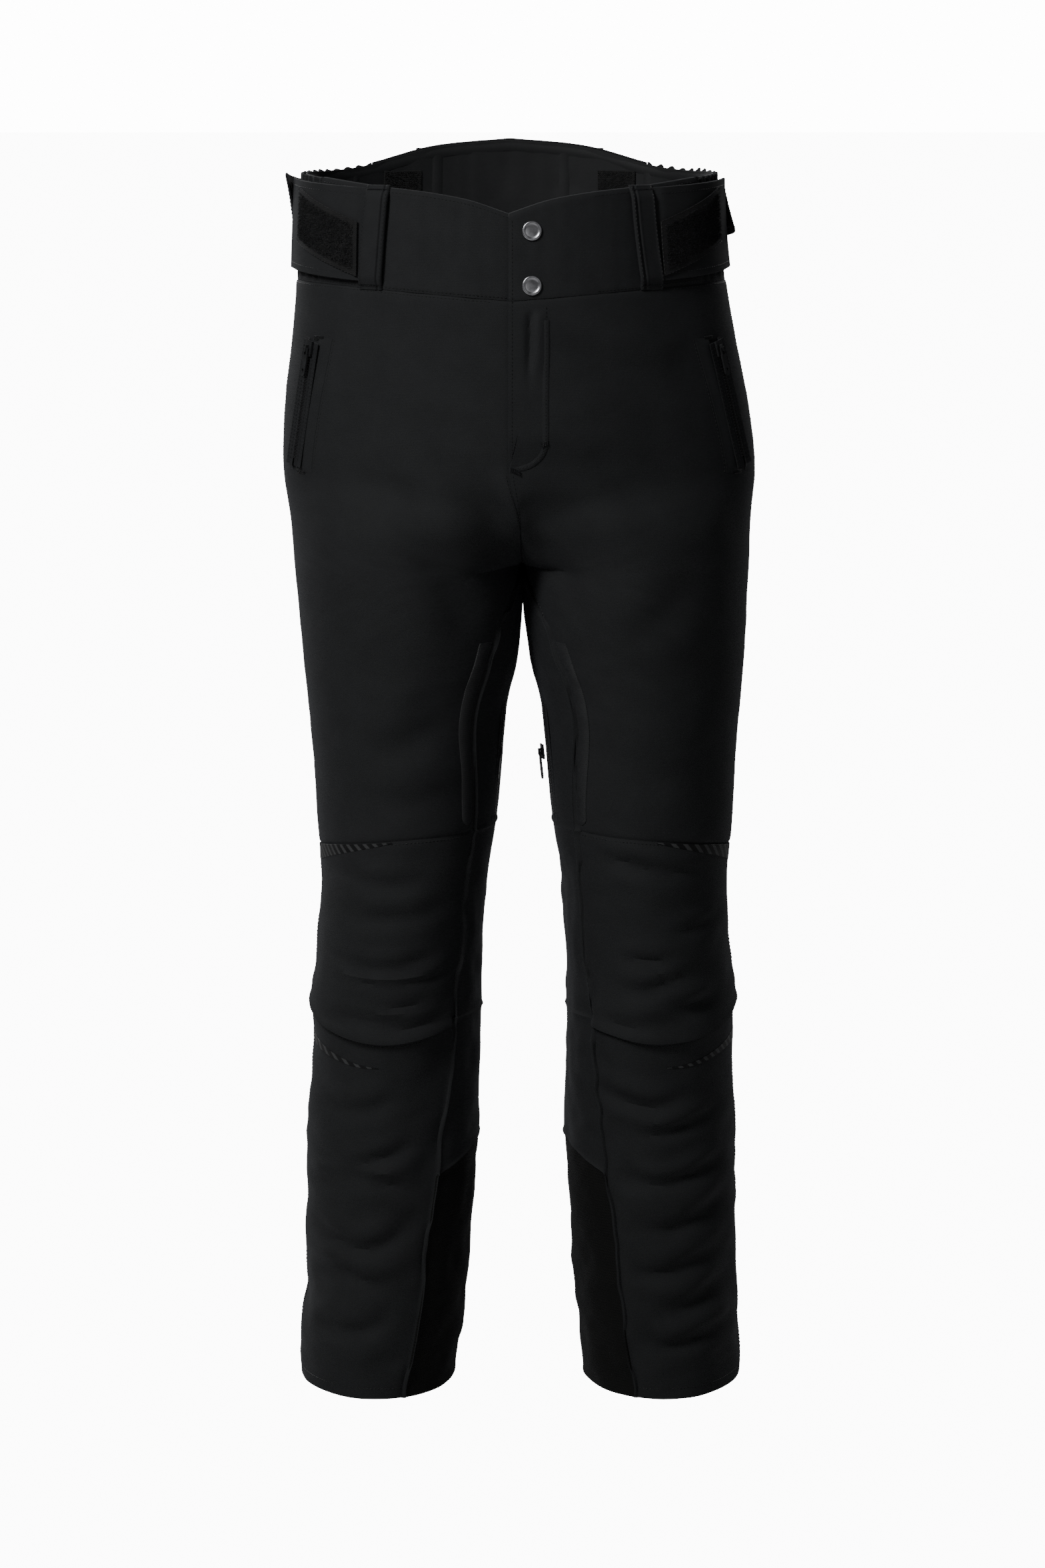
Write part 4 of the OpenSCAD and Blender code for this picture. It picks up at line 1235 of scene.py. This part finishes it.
def pile(name, p, n, where, count, seed, tall=1.15):
    """Loop pile: little bent fibres that stand on a patch."""
    rng = np.random.default_rng(seed)
    nj, ni = p.shape[:2]
    r, q = rng.uniform(0.2, nj - 1.2, count), rng.uniform(0.2, ni - 1.2, count)
    root, up = sample(p, r, q), sample(n, r, q)
    up = unit(up)
    way = rng.normal(size=(count, 3))
    way = unit(way - (way * up).sum(1, keepdims=True) * up)
    across, along = np.cross(way, up) * 0.13, way * 0.13
    h = tall * rng.uniform(0.6, 1.25, (count, 1))
    bend, tip = root + up * h + way * h * 0.35, root + up * h * 0.35 + way * h * 1.1
    foot = np.stack([across, 0.87 * along - 0.5 * across, -0.87 * along - 0.5 * across], 1)
    v = np.concatenate([root[:, None] + foot, bend[:, None] + 0.9 * foot, tip[:, None]], 1)
    fibre = ((0, 1, 4, 3), (1, 2, 5, 4), (2, 0, 3, 5), (3, 4, 6), (4, 5, 6), (5, 3, 6), (2, 1, 0))
    f = [[q + 7 * k for q in face] for k in range(count) for face in fibre]
    pts = v.reshape(-1, 3)
    uv = np.stack([pts[:, 0] + pts[:, 1], pts[:, 2]], -1) * 0.001
    finish_mesh(name, pts, f, uv, PILE, where, sharp=90)


for side, name in SIDES:
    # strap folded back at the side, and the patch sewn on it
    f, c = grid(16, 50)
    T = mix(0.231, 0.472, c) + 0 * f
    Z = mix(mix(-14.0, -9.0, c), mix(-91.0, -84.0, c), f)
    p, n = band(side, T, Z)
    d = 2.3 + 2.6 * smooth(c / 0.09) + 0.8 * np.sin(np.pi * c) + 0.35 * noise(p, (20, 20, 40), 13) \
        + 0.9 * np.exp(-((c - 1) / 0.05) ** 2)
    plain(f"side_strap_{name}", p + n * d[..., None], n, 2.2, "waist", SHELL)
    for j in (1, 14):
        stitch("waist", p[j] + n[j] * (d[j] + 0.05)[:, None], n[j])
    f, c = grid(14, 28)
    T = mix(0.243, 0.412, c) + 0 * f
    Z = mix(mix(-42.0, -15.0, c), mix(-87.0, -61.0, c), f)
    p, n = band(side, T, Z)
    d = 6.5 + 0.8 * np.sin(np.pi * (T - 0.241) / 0.231)
    P = p + n * d[..., None]
    plain(f"loop_patch_base_{name}", P, n, 0.9, "waist", PILE,
          replaces=("loop_patches",) if side > 0 else ())
    pile(f"loop_patch_pile_{name}", P[1:-1, 1:-1], n[1:-1, 1:-1], "waist", 5200, 3 + side)
    for row in (0, 13):
        stitch("waist", P[row] + n[row] * 0.05, n[row])
    for col in (0, 27):
        stitch("waist", P[:, col] + n[:, col] * 0.05, n[:, col])
    # pull tab standing off the side, sewn at its rear end
    body, tab = f"adjuster_{name}", f"tab_{name}"
    f, c = grid(16, 40)
    round_end = 1 - 0.12 * np.clip((0.06 - c) / 0.06, 0, 1) ** 2
    T = mix(0.487, 0.69, c) + 0 * f
    lean = 4.5 * side
    mid, half = mix(-30.0, -44.0, c) - 2.5 * side, mix(23.0, 21.0, c) * round_end
    Z = mid + half * (1 - 2 * f)
    p, n = band(side, T, Z)
    d = mix(8.5, 3.3, c) + lean * (2 * f - 1) * (1 - c) + 0.5 * np.sin(3 * np.pi * c) + 0.3 * noise(p, (14, 14, 30), 14)
    P = p + n * d[..., None]
    plain(f"pull_tab_{name}", P, n, 2.0, tab, SHELL, replaces=(f"adjuster_tab_{name}",))
    for row in (1, 14):
        stitch(tab, P[row] + n[row] * 0.05, n[row])
    for col in (2, 30, 37):
        stitch(tab, P[:, col] + n[:, col] * 0.05, n[:, col])
    f, c = grid(10, 12)
    T = mix(0.493, 0.56, c) + 0 * f
    Z = mix(mix(-15.0, -20.0, c), mix(-48.0, -53.0, c), f) - 2.5 * side
    p, n = band(side, T, Z)
    d = mix(8.5, 3.3, (T - 0.487) / 0.203) + 0.72 * lean * (2 * f - 1) * (1 - (T - 0.487) / 0.203) - 2.7
    P = p + n * d[..., None]
    plain(f"hook_patch_base_{name}", P, n, 0.9, body, PILE, replaces=(f"hook_patch_{name}",))
    pile(f"hook_patch_hooks_{name}", P - n * 0.9, -n, body, 1500, 9 + side, tall=0.55)
    # brace patch inside the back
    f = np.linspace(0, 1, 10)[:, None]
    T = mix(0.785, 0.855, c) + 0 * f
    Z = mix(-7.0, -34.0, f) + 0 * c
    p, n = band(side, T, Z)
    P = p - n * 5.6
    plain(f"brace_patch_base_{name}", P, n, 0.8, "waist", PILE,
          replaces=("brace_patches",) if side > 0 else ())
    pile(f"brace_patch_pile_{name}", P - n * 0.8, -n, "waist", 1500, 15 + side, tall=0.8)

# Fly shield behind the zip
f, c = grid(30, 14)
Z = mix(-107.0, -246.0, f) + 0 * c
X = mix(-14.0, 26.0, c) + 0 * f
p, n = band(LEFT, t_at(X, Z), Z)
d = -13.0 - 0.5 * noise(p, (16, 16, 40), 15)
plain("fly_shield_panel", p + n * d[..., None], n, 1.3, "waist", LINING, replaces=("fly_shield",))

# Gaiters inside the hems: lining sleeves gathered on elastic at the foot
for side, name in SIDES:
    f, c = grid(34, 150)
    z = mix(-905.0, -1047.0, f)
    s = spline(LEG, z + 0 * c)
    inn = mix(5.0, 20.0, smooth(f)) + (1.0 + 1.8 * f) * np.sin(2 * np.pi * c * 34) * smooth((f - 0.35) / 0.4) \
        + 1.2 * np.sin(2 * np.pi * c * 9 + 3 * f)
    q = 2 * np.pi * c
    P = np.stack([side * (s[..., 0] - (s[..., 2] - inn) * np.cos(q)), s[..., 1] - (s[..., 3] - inn) * np.sin(q),
                  z + 0 * c], -1)
    n = np.stack([-side * np.cos(q) + 0 * z, -np.sin(q) + 0 * z, 0 * z + 0 * c], -1)
    plain(f"gaiter_sleeve_{name}", P, n, 0.9, f"shin_{name}", LINING, replaces=(f"gaiter_{name}",))


# ---------------------------------------------------------------------------------------------
# Zips and snaps
# ---------------------------------------------------------------------------------------------
def skin_point(side, t, z, off):
    """The CAD's own point off the unfolded skin, and the way it faces."""
    def at(a, b):
        p = skin(a, b)
        p[..., 0] = side * p[..., 0] + sway(p[..., 2])
        return p
    n = unit(np.cross(at(t + 0.004, z) - at(t - 0.004, z), at(t, z + 1) - at(t, z - 1)) * side)
    return at(t, z) + n * off, n


def vent_t(z):
    g = float(gusset(z))
    return (14 - g) / (360 - 2 * g)


def zip_chain(name, e0, e1, out, where, node_name, pitch=2.5):
    """Woven tapes, and two rows of moulded teeth with rounded heads that mesh."""
    y = unit(e0 - e1)
    x = unit(np.cross(y, out))
    z = np.cross(x, y)
    length = float(np.linalg.norm(e0 - e1))

    def put(v):
        v = np.asarray(v, float)
        return e0 + v[..., :1] * x + v[..., 1:2] * y + v[..., 2:] * z
    parts, faces, uvs, at = [], [], [], 0
    for s in (-1, 1):
        f, c = grid(50, 8)
        L = np.stack([s * mix(1.3, 10.6, c) + 0 * f, mix(6.0, -length - 6, f) + 0 * c,
                      2.1 + 0.5 * np.exp(-(c / 0.12) ** 2) + 0.06 * np.sin(c * 40) + 0 * f], -1)
        g = put(L)
        pts, quads, uv = shell(g, g - z * 0.7, np.stack([L[..., 0], L[..., 1]], -1) * 0.001)
        quads = orient(quads, g, np.broadcast_to(z, g.shape))
        parts.append(pts)
        faces.append(quads + at)
        uvs.append(uv)
        at += len(pts)
    obj = finish_mesh(f"{name}_tape", np.concatenate(parts), np.concatenate(faces).tolist(), np.concatenate(uvs),
                      TAPE, where)
    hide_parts(node_name)
    down = np.linspace(2, -length - 2, 120)
    for s in (-1, 1):
        for off in (5.5, 9.4):
            stitch(where, put(np.stack([s * off + 0 * down, down, 2.15 + 0 * down], -1)),
                   np.broadcast_to(z, (120, 3)), r=0.25)
    ring = np.array([[2.5, -0.52], [1.5, -0.5], [0.6, -0.34], [-0.35, -0.52], [-0.85, -0.3], [-0.85, 0.3],
                     [-0.35, 0.52], [0.6, 0.34], [1.5, 0.5], [2.5, 0.52]])
    levels = ((0.7, 0.82), (1.05, 1.0), (2.45, 1.0), (2.8, 0.8))
    m = len(ring)
    tooth = np.concatenate([np.column_stack([ring[:, 0] if q == 1 else ring[:, 0] * 0.94 + 0.05, ring[:, 1] * q,
                                             np.full(m, h)]) for h, q in levels])
    quads = [[a * m + b, a * m + (b + 1) % m, (a + 1) * m + (b + 1) % m, (a + 1) * m + b]
             for a in range(3) for b in range(m)]
    caps = [list(range(m))[::-1], [3 * m + b for b in range(m)]]
    pts, polys, at = [], [], 0
    for s, shift in ((1, 0.0), (-1, 0.5)):
        for k in range(int(length // pitch)):
            v = tooth.copy()
            v[:, 0] *= s
            v[:, 1] += -(k + shift) * pitch - pitch / 2
            pts.append(put(v))
            for poly in quads + caps:
                poly = poly if s < 0 else poly[::-1]
                polys.append([q + at for q in poly])
            at += len(v)
    pts = np.concatenate(pts)
    uv = np.stack([pts[:, 0], pts[:, 2]], -1) * 0.001
    finish_mesh(f"{name}_teeth", pts, polys, uv, TEETH, where, sharp=50)


a, b = (np.array([3.0, -(float(linear(PELVIS, z)[1]) - 10), z]) for z in (-112.0, -236.0))
zip_chain("fly_chain", a, b, np.array([0.0, -1.0, 0.0]), "waist", "fly_zip")
for side, name in SIDES:
    a, b = skin_point(side, 0.35, -150.0, 1.2)[0], skin_point(side, 0.38, -244.0, 1.2)[0]
    zip_chain(f"pocket_chain_{name}", a, b, skin_point(side, 0.367, -205.0, 0)[1], "waist", f"pocket_zip_{name}")
    a, b = (skin_point(side, vent_t(z), z, 0.0)[0] for z in (-455.0, -556.0))
    zip_chain(f"vent_chain_{name}", a, b, skin_point(side, vent_t(-505.0), -505.0, 0)[1], f"thigh_{name}",
              f"vent_zip_{name}")

# Snap caps: a domed ring round a shallow dish
for k, z in enumerate((-48.0, -93.0)):
    t = t_at(9.4, z)
    p, n = band(LEFT, t, z)
    prof = np.array([[0, 1.0], [2.0, 1.02], [4.4, 1.1], [5.6, 1.3], [6.2, 1.65], [6.8, 1.9], [7.4, 1.88], [7.9, 1.6],
                     [8.2, 1.15], [8.3, 0.7], [8.2, 0.35], [7.6, 0.25]])
    y = unit(np.array([0.0, 0.0, 1.0]) - n * n[2])
    x = np.cross(y, n)
    seg = 72
    ang = np.linspace(0, 2 * np.pi, seg, endpoint=False)
    ringed = [p + n * (float(lap(t, z)) + prof[0, 1] + 0.2)]
    for r, h in prof[1:]:
        ringed.extend(p + n * (float(lap(t, z)) + h + 0.2) + r * (np.cos(a) * x + np.sin(a) * y) for a in ang)
    polys = [[0, 1 + i, 1 + (i + 1) % seg] for i in range(seg)]
    for j in range(len(prof) - 2):
        for i in range(seg):
            a, b = 1 + j * seg + i, 1 + j * seg + (i + 1) % seg
            polys.append([a, a + seg, b + seg, b])
    polys.append([1 + (len(prof) - 2) * seg + i for i in range(seg)][::-1])
    pts = np.array(ringed)
    obj = finish_mesh(f"snap_cap_{k + 1}", pts, polys, np.stack([pts[:, 0], pts[:, 2]], -1) * 0.001, GUNMETAL, "flap",
                      sharp=60)
    if k == 0:
        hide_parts("snap_caps")

for node_name in ("snap_sockets", "snap_studs", "fly_slider", "fly_pull") + tuple(
        f"{a}_{b}_{c}" for a in ("pocket", "vent") for b in ("slider", "pull") for c in ("left", "right")):
    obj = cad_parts[node_name]
    if not obj.material_slots:
        obj.data.materials.append(None)
    for place in obj.material_slots:
        place.material = GUNMETAL if node_name.startswith("snap") else COATED if "pocket" in node_name else DARK_METAL

write_stitches()

# ---------------------------------------------------------------------------------------------
# Floor, light and camera
# ---------------------------------------------------------------------------------------------
def by_eye(tree, other, seen, share, out):
    """The backdrop is bright where it is looked at, and lights nothing."""
    path = tree.nodes.new("ShaderNodeLightPath")
    both = tree.nodes.new("ShaderNodeMixShader")
    tree.links.new(math_node(tree, "MULTIPLY", path.outputs["Is Camera Ray"], share), both.inputs[0])
    tree.links.new(other.outputs[0], both.inputs[1])
    tree.links.new(seen.outputs[0], both.inputs[2])
    tree.links.new(both.outputs[0], out.inputs[0])


mesh = bpy.data.meshes.new("floor")
mesh.from_pydata([(-30, -30, -1.075), (30, -30, -1.075), (30, 30, -1.075), (-30, 30, -1.075)], [], [(0, 1, 2, 3)])
floor = bpy.data.objects.new("floor", mesh)
bpy.context.scene.collection.objects.link(floor)
m, t, b = material("pale_floor")
grain = node(t, "ShaderNodeTexNoise", Scale=3.0, Detail=3.0)
t.links.new(ramp(t, grain.outputs["Fac"], [(0.3, (0.5, 0.5, 0.5)), (0.7, (0.54, 0.54, 0.54))]), b.inputs["Base Color"])
b.inputs["Roughness"].default_value = 0.9
glow = node(t, "ShaderNodeEmission", Strength=13.0)
by_eye(t, b, glow, 0.9, t.nodes["Material Output"])
mesh.materials.append(m)

world = bpy.data.worlds.new("studio")
bpy.context.scene.world = world
world.use_nodes = True
wt = world.node_tree
wt.nodes.clear()
out = wt.nodes.new("ShaderNodeOutputWorld")
backdrop = node(wt, "ShaderNodeBackground", Color=(1, 1, 1, 1), Strength=14.0)
sky = node(wt, "ShaderNodeBackground", Color=(0.96, 0.98, 1.0, 1), Strength=0.06)
by_eye(wt, sky, backdrop, 1.0, out)


def lamp(name, where, aim, size, power, colour=(1, 1, 1)):
    data = bpy.data.lights.new(name, "AREA")
    data.shape = "RECTANGLE"
    data.size, data.size_y = size
    data.energy = power
    data.color = colour
    obj = bpy.data.objects.new(name, data)
    obj.location = where
    obj.rotation_euler = (Vector(aim) - Vector(where)).to_track_quat("-Z", "Y").to_euler()
    bpy.context.scene.collection.objects.link(obj)


lamp("key", (-1.4, -1.75, 1.45), (0, 0, -0.25), (0.7, 0.9), 57, (0.99, 0.995, 1.0))
lamp("fill", (1.6, -3.0, 0.8), (0, 0, -0.4), (1.6, 2.0), 5)
lamp("rim", (-1.6, 2.2, 1.2), (0, 0, -0.4), (1.2, 1.6), 45)
lamp("back", (1.5, 2.5, 1.4), (0, 0, -0.4), (1.2, 1.6), 30)

camera = bpy.data.cameras.new("camera")
camera.sensor_fit = "VERTICAL"
camera.sensor_height = 36
camera.lens = 7052 / 2352 * 36
camera.clip_end = 100
cam = bpy.data.objects.new("camera", camera)
target = Vector((0.002, 0, -0.534))
el = math.radians(10)
cam.location = target + 4.1 * Vector((0, -math.cos(el), math.sin(el)))
cam.rotation_euler = (target - cam.location).to_track_quat("-Z", "Y").to_euler()
bpy.context.scene.collection.objects.link(cam)
bpy.context.scene.camera = cam
